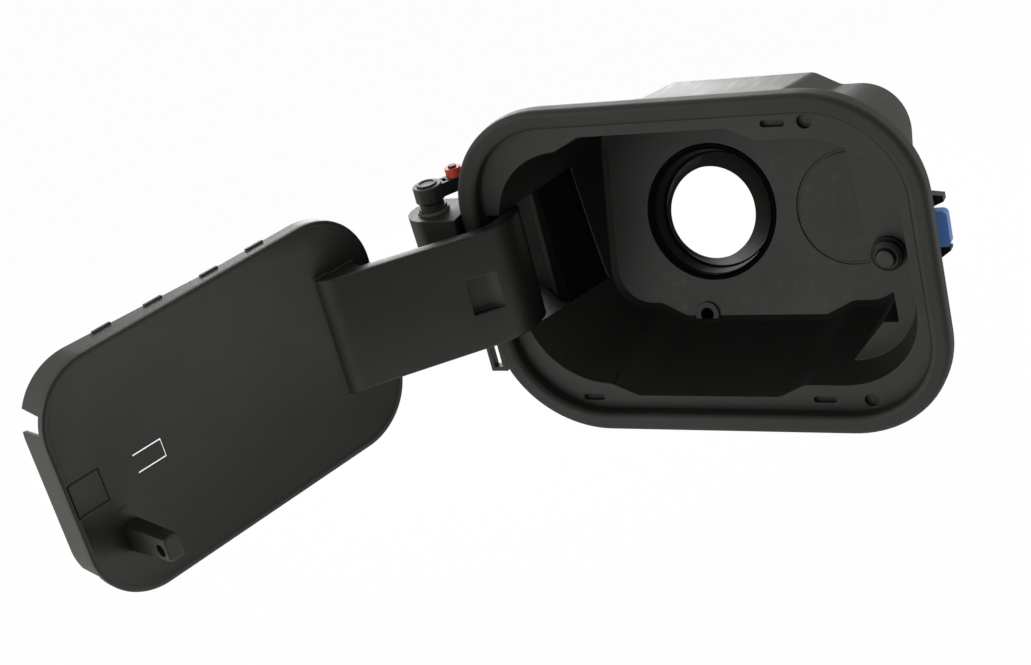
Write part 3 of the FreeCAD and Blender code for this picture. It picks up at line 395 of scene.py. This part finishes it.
moulding("housing_plastic", (0.0070, 0.0070, 0.0065), (0.0150, 0.0148, 0.0140), 0.52, 0.40)
moulding("flap_plastic", (0.0070, 0.0071, 0.0066), (0.0150, 0.0150, 0.0142), 0.46, 0.36,
         edge=0.7, grain=1500.0, depth=0.05)
moulding("seal_rubber", (0.0060, 0.0060, 0.0054), (0.0130, 0.0126, 0.0118), 0.60, 0.50, edge=0.8)
moulding("grommet_rubber", (0.0020, 0.0020, 0.0020), (0.0045, 0.0045, 0.0042), 0.56, 0.46, mirror=0.4)
moulding("bush_plastic", (0.06, 0.06, 0.058), (0.12, 0.12, 0.115), 0.5, 0.35, edge=0.2)
moulding("latch_plastic", (0.006, 0.006, 0.0058), (0.015, 0.015, 0.0145), 0.45, 0.32, edge=0.3)
moulding("clip_orange", (0.62, 0.055, 0.02), (0.75, 0.10, 0.04), 0.45, 0.35, edge=0.3)
moulding("tab_blue", (0.15, 0.36, 0.94), (0.20, 0.43, 0.98), 0.38, 0.28, edge=0.6)
# painted shade: a darker copy of the grommet rubber, near black and mirroring little, for the collar in the
# bowl's shade
moulding("neck_rubber_painted_shade", (0.0012, 0.0012, 0.0011), (0.0026, 0.0026, 0.0024), 0.6, 0.5, mirror=0.045)
# painted shade: a darker copy of the housing plastic, near black and mirroring little, for the wall deep in
# the bowl
moulding("pocket_plastic_painted_shade", (0.0015, 0.0015, 0.0014), (0.0035, 0.0035, 0.0032), 0.75, 0.62, mirror=0.12)
print("finishes:", sorted(FINISHES))

# %% [markdown]
# ## Plated steel
# Shaft, clip, bolt and springs are zinc plated wire and bar. Plating is a full metal with a slight
# haze, so metallic stays at 1 on the shader and only roughness and colour change.

# %% Steel
STEEL_DARK = (0.36, 0.36, 0.35)
STEEL_LIGHT = (0.52, 0.52, 0.50)
STEEL_ROUGHNESS = (0.32, 0.5)


def plated_steel():
    finish, tree = new_finish("steel")
    bar = use_group(tree, "moulded_skin",
                    {"Edge": 0.2 * MM, "Grain scale": 3000.0, "Grain depth": 0.01 * MM})
    worn = use_group(tree, "handled_surface", {"Cloud scale": 90.0, "Rub amount": 0.6})
    shader = place(tree, "ShaderNodeBsdfPrincipled", {
        "Base Color": mix_colours(tree, worn.outputs["Cloud"], STEEL_DARK, STEEL_LIGHT),
        "Metallic": 1.0,
        "Roughness": spread(tree, worn.outputs["Rub"], 0.0, 1.0, *STEEL_ROUGHNESS),
        "Normal": bar.outputs["Normal"],
    })
    place(tree, "ShaderNodeOutputMaterial", {"Surface": shader.outputs[0]})
    return finish


FINISHES["steel"] = plated_steel()
print("finish:", FINISHES["steel"].name)

# %% [markdown]
# ## Dressing the frame
# The part's record names a material slot for each piece of the frame. A finish could be dragged onto
# each piece by hand, but a loop over the record can't forget one.

# %% Dress the frame
def dress(piece, slot):
    """Gives a piece the finish of a material slot."""
    piece.data.materials.clear()
    piece.data.materials.append(FINISHES[slot])
    return piece


for row in frame["record"]["subparts"]:
    dress(frame["nodes"][row["node"]], row["material_slot"])

# %% [markdown]
# ## Forms from rings
# Many moulded forms are a skin over a row of rings: a rim is one profile carried round an outline, an
# arm is one section carried along a path. Blender could sweep a curve, but the section of a swept
# curve stays the same. Here each ring is a list of points, and neighbouring rings are joined by faces.

# %% Form helpers
SHARP = math.radians(35)


def skin(rings, loop=False):
    """A closed mesh through rings of points. A loop has no ends, otherwise both ends are capped."""
    form = bmesh.new()
    rows = [[form.verts.new(Vector(spot) * MM) for spot in ring] for ring in rings]
    pairs = list(zip(rows, rows[1:])) + ([(rows[-1], rows[0])] if loop else [])
    for low, high in pairs:
        for i in range(len(low)):
            form.faces.new((low[i - 1], low[i], high[i], high[i - 1]))
    if not loop:
        form.faces.new(rows[0])
        form.faces.new(rows[-1])
    bmesh.ops.recalc_face_normals(form, faces=form.faces)
    mesh = bpy.data.meshes.new("form")
    form.to_mesh(mesh)
    form.free()
    return mesh


def block(low, high):
    """A box between two corners."""
    (x0, y0, z0), (x1, y1, z1) = low, high
    return skin([[(x0, y0, z), (x1, y0, z), (x1, y1, z), (x0, y1, z)] for z in (z0, z1)])


def cut(solid, tools):
    """A mesh with the forms of the tools taken away, one Boolean after the other."""
    holder = bpy.data.objects.new("solid", solid)
    bpy.context.scene.collection.objects.link(holder)
    knives = [bpy.data.objects.new("tool", tool) for tool in tools]
    for knife in knives:
        bpy.context.scene.collection.objects.link(knife)
        step = holder.modifiers.new("cut", "BOOLEAN")
        step.operation = "DIFFERENCE"
        step.object = knife
    seen = bpy.context.evaluated_depsgraph_get()
    result = bpy.data.meshes.new_from_object(holder.evaluated_get(seen))
    for used in [holder, *knives]:
        bpy.data.objects.remove(used)
    return result


def make_piece(name, meshes, slot, body, turn=None):
    """One piece from several meshes, turned into place, dressed, and moving with a body."""
    form = bmesh.new()
    for mesh in meshes:
        form.from_mesh(mesh)
    whole = bpy.data.meshes.new(name)
    form.to_mesh(whole)
    form.free()
    whole.transform(turn or Matrix.Identity(4))
    whole.polygons.foreach_set("use_smooth", [True] * len(whole.polygons))
    whole.set_sharp_from_angle(angle=SHARP)
    piece = bpy.data.objects.new(name, whole)
    bpy.context.scene.collection.objects.link(piece)
    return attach(dress(piece, slot), body)


print("edges over", round(math.degrees(SHARP)), "degrees stay sharp")

# %% [markdown]
# ## Flap panel
# The flap is drawn shut, with the hinge at the origin, and then turned open as a whole: shut, its
# outline is a plain rounded rectangle. One profile goes round it: the raised border, the edge, and the
# skirt behind, which is deep at the free end and shallow by the hinge. The insets follow the outline's
# own directions, so the border stays equally wide in the corners.

# %% Flap panel
HINGE = frame["record"]["behaviour"]["joints"][0]
HINGE_PLACE = Matrix.Translation(HINGE["pos_m"])
OPEN = HINGE_PLACE @ Matrix.Rotation(-math.radians(HINGE["range_deg"][1]), 4, "Z")
PANEL_MID = (120.0, -1.3)
PANEL_HALF = (83.85, 54.1)
PANEL_CORNER = 28.4
CORNER_STEPS = 60
SIDE_STEP = 0.7
FACE = -6.4
BACK = -9.0
SKIRT_SHALLOW = 5.2
SKIRT_GROWTH = 8.2
SKIRT_FROM = 108.85
SKIRT_RUN = 95.0
NOTCHES = [(29.3, 37.3), (-45.2, -37.2)]
NOTCH_FROM = 184.0
NOTCH_REST = 0.3
# inset, level, and 1 where the skirt's depth is added
PANEL_PROFILE = [
    (3.6, FACE, 0), (2.7, FACE + 0.55, 0), (2.0, FACE + 0.8, 0), (0.8, FACE + 0.8, 0),
    (0.2, FACE + 0.5, 0), (0.0, FACE - 0.1, 0), (0.0, BACK + 0.3, 0), (0.5, BACK, 0),
    (0.4, BACK, 1), (2.2, BACK, 1), (2.3, BACK, 0),
]


def panel_outline():
    """Points round the panel, each with its outward direction."""
    wide, tall = PANEL_HALF[0] - PANEL_CORNER, PANEL_HALF[1] - PANEL_CORNER
    middles = [(wide, tall), (-wide, tall), (-wide, -tall), (wide, -tall)]
    spots = []
    for quarter, (x, z) in enumerate(middles):
        for step in range(CORNER_STEPS + 1):
            turn = math.radians(90 * quarter + 90 / CORNER_STEPS * step)
            spots.append((x, z, math.cos(turn), math.sin(turn)))
        x2, z2 = middles[(quarter + 1) % 4]
        turn = math.radians(90 * quarter + 90)
        count = int(math.hypot(x2 - x, z2 - z) / SIDE_STEP)
        for step in range(1, count):
            part = step / count
            spots.append((x + (x2 - x) * part, z + (z2 - z) * part, math.cos(turn), math.sin(turn)))
    return [(PANEL_MID[0] + x + PANEL_CORNER * nx, PANEL_MID[1] + z + PANEL_CORNER * nz, nx, nz)
            for x, z, nx, nz in spots]


def skirt_depth(x, z):
    """Deep at the free end, shallow towards the hinge, with two notches at the end."""
    if x > NOTCH_FROM and any(low < z < high for low, high in NOTCHES):
        return NOTCH_REST
    return SKIRT_SHALLOW + SKIRT_GROWTH * min(max((x - SKIRT_FROM) / SKIRT_RUN, 0.0), 1.0)


def panel_ring(outline, inset, level, skirt):
    """The outline, drawn in by the inset and lowered by the skirt's depth."""
    return [(x - inset * nx, level - skirt * skirt_depth(x, z), z - inset * nz)
            for x, z, nx, nz in outline]


OUTLINE = panel_outline()
panel = skin([panel_ring(OUTLINE, *row) for row in PANEL_PROFILE])
print("panel:", len(panel.polygons), "faces")

# %% [markdown]
# ## Cuts in the panel
# A square pad is marked by a fine groove, and a small tongue is cut free by three slits. The panel is
# thinned behind the tongue, so that light comes through the slits. Each tool is a plain form, and a
# Boolean takes it away. A fine ridge and four clip bumps on the skirt's upper side are plain boxes.

# %% Panel cuts
PAD = (194.5, -0.9)
PAD_INSIDE = 7.1
PAD_OUTSIDE = 7.7
GROOVE_DEPTH = 0.5
TONGUE_X = (157.6, 171.3)
TONGUE_Z = (-5.2, 2.8)
TONGUE_WALL = 0.8
THIN_MARGIN = 3.0
SLIT = 0.45
END_SLIT = 0.4 * SLIT
PAST = 1.0


def square(half, level):
    """A square ring round the pad's middle."""
    corners = ((-1, -1), (1, -1), (1, 1), (-1, 1))
    return [(PAD[0] + x * half, level, PAD[1] + z * half) for x, z in corners]


def pad_groove():
    """A square frame that reaches out of the panel's face."""
    floor, top = FACE - GROOVE_DEPTH, FACE + PAST
    return skin([square(PAD_INSIDE, floor), square(PAD_OUTSIDE, floor),
                 square(PAD_OUTSIDE, top), square(PAD_INSIDE, top)], loop=True)


def tongue_cuts():
    """The thin place behind the tongue, a slit along each side, and one at its free end."""
    (free, root), (low, high) = TONGUE_X, TONGUE_Z
    under, over = BACK - PAST, FACE + PAST
    thinned = block((free - THIN_MARGIN, under, low - THIN_MARGIN),
                    (root + THIN_MARGIN, FACE - TONGUE_WALL, high + THIN_MARGIN))
    slits = [block((free - SLIT, under, z - SLIT), (root, over, z + SLIT)) for z in (low, high)]
    return [thinned, *slits, block((free - SLIT, under, low), (free + END_SLIT, over, high))]


panel = cut(panel, [pad_groove(), *tongue_cuts()])
print("panel after the cuts:", len(panel.polygons), "faces")

# %% Ridge and clip bumps
RIDGE = ((181.4, FACE - 0.2, -14.5), (187.8, FACE + 0.3, -14.1))
BUMPS = (159, 135, 108, 84)
BUMP_HALF = 4.4
BUMP_WIDE = 1.4
BUMP_ROOT = 1.5
BUMP_PROUD = 0.3
TOP_EDGE = PANEL_MID[1] + PANEL_HALF[1]


def clip_bump(x):
    """A bump at the free edge of the skirt, on its upper side."""
    end = BACK - skirt_depth(x, 0)
    return block((x - BUMP_HALF, end, TOP_EDGE - BUMP_ROOT),
                 (x + BUMP_HALF, end + BUMP_WIDE, TOP_EDGE + BUMP_PROUD))


ridge = block(*RIDGE)
bumps = [clip_bump(x) for x in BUMPS]
print("clip bumps:", len(bumps))

# %% [markdown]
# ## Swan-neck arm
# The arm leaves the panel, reaches over the seal and dives into the hinge pocket. Its path is a few
# corners, each rounded by an arc. A flat section with soft corners is carried along it, and it grows
# fuller at the root, which gives the fillet to the panel without any modifier. A web fills the narrow
# corner between arm and panel.

# %% Arm path
# x, y and the radius of the bend
ARM_CORNERS = [(61.0, -8.0, 0), (61.0, -2.45, 8.5), (-2.7, 37.9, 24.0), (-21.6, 30.2, 6.0), (-5.3, 0.8, 0)]
BEND_STEPS = 12


def rounded_path(corners):
    """Points along straight runs and arcs, each with its direction."""
    path = []
    for before, corner, after in zip(corners, corners[1:], corners[2:]):
        spot = Vector(corner[:2])
        into = (spot - Vector(before[:2])).normalized()
        out = (Vector(after[:2]) - spot).normalized()
        swing = math.atan2(into.x * out.y - into.y * out.x, into.dot(out))
        start = spot - into * corner[2] * math.tan(abs(swing) / 2)
        aside = Vector((-into.y, into.x)) * math.copysign(corner[2], swing)
        for step in range(BEND_STEPS + 1):
            turn = Matrix.Rotation(swing * step / BEND_STEPS, 2)
            path.append((start + aside - turn @ aside, turn @ into))
    first, last = Vector(corners[0][:2]), Vector(corners[-1][:2])
    return [(first, path[0][1])] + path + [(last, path[-1][1])]


ARM_PATH = rounded_path(ARM_CORNERS)
print("arm path:", len(ARM_PATH), "points")

# %% Arm
ARM_HALF = 3.0
ARM_LOW, ARM_HIGH = -25.5, 27.6
ARM_EDGE = 1.0
ROOT_RUN = 16.0
ROOT_SIDE, ROOT_LOW, ROOT_HIGH = 2.6, 3.2, 0.6
WEB = [(60, -6.6), (44, -6.6), (45.4, -5.4), (46.5, -3.2), (47.2, -0.4), (47.6, 2.6), (52, 0.4), (59, -3.6)]
WEB_LEVELS = (ARM_LOW + 0.2, ARM_HIGH - 0.3)
SOFT_STEPS = 4


def soft_corners(edge):
    """The four rounded corners of a section, point by point: two signs and two offsets."""
    for side, end, start in ((1, 1, 0), (-1, 1, 90), (-1, -1, 180), (1, -1, 270)):
        for step in range(SOFT_STEPS + 1):
            turn = math.radians(start + 90 / SOFT_STEPS * step)
            yield side, end, edge * math.cos(turn), edge * math.sin(turn)


def arm_section(spot, way, root):
    """A flat section with soft corners, across the path. It is fuller where root is near 1."""
    sides = {1: ARM_HALF, -1: ARM_HALF + ROOT_SIDE * root}
    ends = {1: ARM_HIGH + ROOT_HIGH * root, -1: ARM_LOW - ROOT_LOW * root}
    across = Vector((-way.y, way.x))
    ring = []
    for side, end, out, up in soft_corners(ARM_EDGE):
        aside = spot + across * (side * (sides[side] - ARM_EDGE) + out)
        ring.append((aside.x, aside.y, ends[end] - end * ARM_EDGE + up))
    return ring


def sweep_arm():
    """The section carried along the path, with its root worked out from the way walked."""
    rings, walked, last = [], 0.0, ARM_PATH[0][0]
    for spot, way in ARM_PATH:
        walked += (spot - last).length
        last = spot
        rings.append(arm_section(spot, way, max(0.0, 1 - walked / ROOT_RUN) ** 2))
    return skin(rings)


arm = sweep_arm()
web = skin([[(x, y, z) for x, y in WEB] for z in WEB_LEVELS])
print("arm:", len(arm.polygons), "faces")

# %% [markdown]
# ## Finger hold and knuckle
# Near the top of the arm a hold is scooped out: deep and square on one side, curved up on the other.
# Its tool is a flat outline drawn along the arm and given a height. The knuckle round the shaft is a
# tube. It could be two cylinders and a Boolean, but a row of circles joined into a loop gives the tube
# and its softened edges at once.

# %% Arm details and the flap
HOLD = [(20.3, 8), (20.3, -0.8), (13, -0.8), (11, -0.5), (9, 0.3), (7, 1.5),
        (5.5, 2.7), (4.8, 3.6), (4.8, 8)]
HOLD_HALF = 8.5
KNUCKLE = [(4.05, -27), (6.8, -27), (7.4, -26.4), (7.4, 26.4), (6.8, 27), (4.05, 27)]
CIRCLE_STEPS = 40


def circle(radius, level):
    """A level circle round the origin."""
    turns = [2 * math.pi * i / CIRCLE_STEPS for i in range(CIRCLE_STEPS)]
    return [(radius * math.cos(turn), radius * math.sin(turn), level) for turn in turns]


def lathe(rows, loop=False):
    """A round form from rows of radius and level."""
    return skin([circle(radius, level) for radius, level in rows], loop)


def arm_outline(points):
    """Points given as distance back from the arm's top corner and height off its middle."""
    top, root = Vector(ARM_CORNERS[2][:2]), Vector(ARM_CORNERS[1][:2])
    way = (root - top).normalized()
    off = Vector((-way.y, way.x))
    return [top + way * back + off * out for back, out in points]


hold = skin([[(*spot, z) for spot in arm_outline(HOLD)] for z in (-HOLD_HALF, HOLD_HALF)])
arm = cut(arm, [hold])
knuckle = lathe(KNUCKLE, loop=True)
flap = make_piece("flap_moulding", [panel, ridge, *bumps, arm, web, knuckle], "flap_plastic", "flap", OPEN)
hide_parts("flap_carrier")
print("flap:", len(flap.data.polygons), "faces")

# %% [markdown]
# ## Striker
# The striker is a tapered finger on the panel with an eye near its tip, where the lock bolt passes. A
# cube could be scaled at one end, but its rounded corners would shrink with it. Rounded sections joined
# by a skin give the taper and keep the corners, and a round tool cuts the eye.

# %% Striker
# x, z, width, height and level of each section
FINGER = [(182.1, -27.9, 7.5, 13.1, FACE - 0.3), (181.6, -26.3, 7.1, 10.6, 21.0),
          (181.6, -26.3, 5.9, 9.4, 21.6)]
FINGER_EDGE = 1.2
EYE_LEVEL, EYE_HEIGHT = 16.8, -27.0
EYE_RADIUS = 2.8
EYE_STEPS = 32
EYE_ENDS = (170, 195)


def finger_section(x, z, wide, tall, level):
    """A rounded rectangle across the finger."""
    return [(x + side * (wide / 2 - FINGER_EDGE) + out, level, z + end * (tall / 2 - FINGER_EDGE) + up)
            for side, end, out, up in soft_corners(FINGER_EDGE)]


def eye_ring(x):
    """A circle that faces along x."""
    turns = [2 * math.pi * i / EYE_STEPS for i in range(EYE_STEPS)]
    return [(x, EYE_LEVEL + EYE_RADIUS * math.cos(turn), EYE_HEIGHT + EYE_RADIUS * math.sin(turn))
            for turn in turns]


finger = skin([finger_section(*row) for row in FINGER])
eye = skin([eye_ring(x) for x in EYE_ENDS])
striker = make_piece("striker_finger", [cut(finger, [eye])], "flap_plastic", "flap", OPEN)
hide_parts("flap_striker")
print("striker:", len(striker.data.polygons), "faces")

# %% [markdown]
# ## Cap on the hinge
# A black cap with a shallow dish covers the steel end of the shaft. A cylinder with an inset face would
# do, but a row of circles also rounds the edge. Its level is read from the shaft in the frame.

# %% Hinge cap
CAP = [(4.6, 0.02), (4.6, 0.5), (4.2, 0.8), (3.5, 0.8), (3.2, 0.3)]
SHAFT_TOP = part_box("hinge_shaft")[1].z / MM
cap_form = lathe([(radius, SHAFT_TOP + rise) for radius, rise in CAP])
make_piece("hinge_cap", [cap_form], "housing_plastic", "flap", HINGE_PLACE)
print("cap at", round(SHAFT_TOP, 1), "mm")

# %% [markdown]
# ## Filler neck grommet
# The grommet is a soft collar: a flange on the bowl's back wall, a step, and a funnel to the lip, whose
# middle lies to one side. It is lathed like the tubes above, but each circle has its own middle. It
# gets the rubber copy with painted shade, near black and mirroring little, as it lies in the bowl's shade.

# %% Grommet
NECK = Vector((-16.5, 66.8, -3.2))
NECK_AXIS = Vector((0, 0.945519, -0.325568))
ACROSS = Vector((1, 0, 0))
NECK_UP = ACROSS.cross(NECK_AXIS)
LIP_SHIFT = (-10.2, -3.4)
NECK_STEPS = 96
# depth, radius, and 1 where the circle lies round the lip's middle
COLLAR = [
    (-0.05, 30.6, 0), (-0.5, 30.5, 0), (-0.8, 30.0, 0), (-0.6, 29.2, 0), (0.6, 28.0, 0), (3.0, 27.5, 0),
    (9.4, 26.3, 0), (9.7, 25.6, 0), (10.2, 25.4, 0), (10.8, 25.6, 0),
    (25.0, 21.7, 1), (25.6, 21.4, 1), (29.0, 21.4, 1), (29.0, 23.6, 1), (25.0, 23.6, 1),
    (10.5, 28.0, 0), (3.0, 28.1, 0), (-0.05, 28.1, 0),
]


def neck_circle(depth, radius, shift):
    """A circle round the neck's axis, its middle moved to the lip's where shift is 1."""
    ring = []
    for i in range(NECK_STEPS):
        turn = 2 * math.pi * i / NECK_STEPS
        ring.append(NECK + NECK_AXIS * depth
                    + ACROSS * (LIP_SHIFT[0] * shift + radius * math.cos(turn))
                    + NECK_UP * (LIP_SHIFT[1] * shift + radius * math.sin(turn)))
    return ring


collar = skin([neck_circle(*row) for row in COLLAR], loop=True)
grommet = make_piece("grommet_collar", [collar], "grommet_rubber", "housing")
# painted shade: the collar gets the near-black rubber copy, because it lies in the shade of the bowl
grommet.data.materials[0] = FINISHES["neck_rubber_painted_shade"]
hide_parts("neck_grommet")
print("grommet:", len(grommet.data.polygons), "faces")

# %% [markdown]
# ## Wall by the hinge
# Behind the arm the bowl's left wall carries on to the back wall. The frame leaves a window there for
# the arm to swing through, and a thin plate fills its deeper half, which the arm never reaches. A plane
# could be bent to it, but the wall leans with height, so a section is worked out at each level.

# %% Wall plate
MOUTH_X, MOUTH_Y = -87.0, 6.0
WALL_TAPER = 20.5
WALL_DEPTHS = (54.0, 46.0, 38.0, 31.0)
CURVE_RADIUS = 43.6
CURVE_DEGREES = range(32, 73, 8)
PLATE_OFFSET = 0.7
PLATE_LEVELS = [-28.0 + 7.0 * i for i in range(9)]


def wall_x(y, z):
    """Where the left wall runs, on the ruled skin from the mouth to the leaning back wall."""
    back = NECK.y - (z - NECK.z) * NECK_AXIS.z / NECK_AXIS.y
    return MOUTH_X + WALL_TAPER * (y - MOUTH_Y) / (back - MOUTH_Y)


def plate_section(z):
    """The wall, then a curve round the hinge, with 1 mm of thickness."""
    hinge = Vector(HINGE["pos_m"]) / MM
    front = [(wall_x(y, z), y) for y in WALL_DEPTHS]
    for degrees in CURVE_DEGREES:
        turn = math.radians(degrees)
        front.append((hinge.x + CURVE_RADIUS * math.cos(turn), hinge.y + CURVE_RADIUS * math.sin(turn)))
    behind = [(x - PLATE_OFFSET, y + PLATE_OFFSET) for x, y in front[1:]]
    return [(x, y, z) for x, y in front + behind[::-1]]


plate = skin([plate_section(z) for z in PLATE_LEVELS])
wall = make_piece("hinge_wall_plate", [plate], "housing_plastic", "housing")
# painted shade: the plate gets the near-black copy of the housing plastic, because it lies in the shade of
# the bowl
wall.data.materials[0] = FINISHES["pocket_plastic_painted_shade"]
print("wall plate:", len(wall.data.polygons), "faces")

# %% [markdown]
# ## Drain pipe
# A short pipe leads water out of the drain in the back wall. It is a lathed tube with a dark disc at its
# far end, put there as shade so that the hole looks dark, and it is turned to stand along the neck's axis.

# %% Drain pipe
DRAIN = Vector((-21.5, 51.8, -46.7)) * MM
PIPE = [(4.6, 2.8), (4.6, 12), (2.2, 12), (3.05, 11), (3.05, 2.8)]
# a dark disc that stands in for the shade deep inside the pipe
SHADE_DISC = [(2.3, 11.2), (2.3, 12)]
PIPE_TURN = NECK_AXIS.to_track_quat("Z", "Y").to_matrix().to_4x4()
PIPE_PLACE = Matrix.Translation(DRAIN) @ PIPE_TURN
pipe_forms = [lathe(PIPE, loop=True), lathe(SHADE_DISC)]
drain = make_piece("drain_pipe", pipe_forms, "housing_plastic", "housing", PIPE_PLACE)
print("drain pipe:", len(drain.data.polygons), "faces")

# %% [markdown]
# ## Springs
# The frame holds each spring as a plain tube of its outer size. A wound spring is a round wire on a
# helix. A Screw modifier could turn a circle up an axis, but it can't add the straight ends. So the
# turns are worked out by a loop, and the wire is the bevel of a curve, made a mesh.

# %% Spring helpers
WIRE = 0.8 * MM
COIL_RADIUS = 2.2 * MM
TURN_STEPS = 16
WIRE_ROUNDNESS = 3


def wind(start, end, turns, hook):
    """Points of a helix between two places, with straight hooks of a length at both ends."""
    axis = (end - start).normalized()
    side = axis.orthogonal().normalized()
    other = axis.cross(side)
    steps = int(turns * TURN_STEPS)
    first = start + axis * hook
    run = (end - start).length - 2 * hook
    points = [start]
    for step in range(steps + 1):
        turn = 2 * math.pi * step / TURN_STEPS
        around = (side * math.cos(turn) + other * math.sin(turn)) * COIL_RADIUS
        points.append(first + axis * (run * step / steps) + around)
    points.append(end)
    return points


def wire_piece(name, points):
    """A mesh tube of round wire through the points."""
    curve = bpy.data.curves.new(name, "CURVE")
    curve.dimensions = "3D"
    curve.bevel_depth = WIRE / 2
    curve.bevel_resolution = WIRE_ROUNDNESS
    spline = curve.splines.new("POLY")
    spline.points.add(len(points) - 1)
    for spot, point in zip(points, spline.points):
        point.co = (*spot, 1.0)
    holder = bpy.data.objects.new(name, curve)
    mesh = bpy.data.meshes.new_from_object(holder)
    bpy.data.objects.remove(holder)
    mesh.name = name
    mesh.polygons.foreach_set("use_smooth", [True] * len(mesh.polygons))
    piece = bpy.data.objects.new(name, mesh)
    bpy.context.scene.collection.objects.link(piece)
    return dress(piece, "steel")


def middle(box):
    """The middle of a box given by two corners."""
    return (box[0] + box[1]) / 2


print("wire of", round(WIRE / MM, 2), "mm")

# %% Opening spring
OPENING_TURNS = 22
OPENING_HOOK = 5 * MM
clip_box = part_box("spring_end_clip")
tube_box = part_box("opening_spring")
SPRING_HEIGHT = middle(tube_box).z
spring_start = Vector((middle(clip_box).x, middle(clip_box).y, SPRING_HEIGHT))
spring_end = Vector((tube_box[1].x, tube_box[1].y, SPRING_HEIGHT))
opening_turns = wind(spring_start, spring_end, OPENING_TURNS, OPENING_HOOK)
coil = wire_piece("opening_spring_wire", opening_turns)
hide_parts("opening_spring")
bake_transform(coil)
print("opening spring:", len(coil.data.polygons), "faces")

# %% Latch spring
LATCH_TURNS = 11
latch_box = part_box("latch_spring")
latch_start = middle(latch_box)
latch_end = latch_start.copy()
latch_start.y = latch_box[0].y + WIRE
latch_end.y = latch_box[1].y - WIRE
latch_coil = wire_piece("latch_spring_wire", wind(latch_start, latch_end, LATCH_TURNS, WIRE))
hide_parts("latch_spring")
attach(latch_coil, "housing")
print("latch spring:", len(latch_coil.data.polygons), "faces")
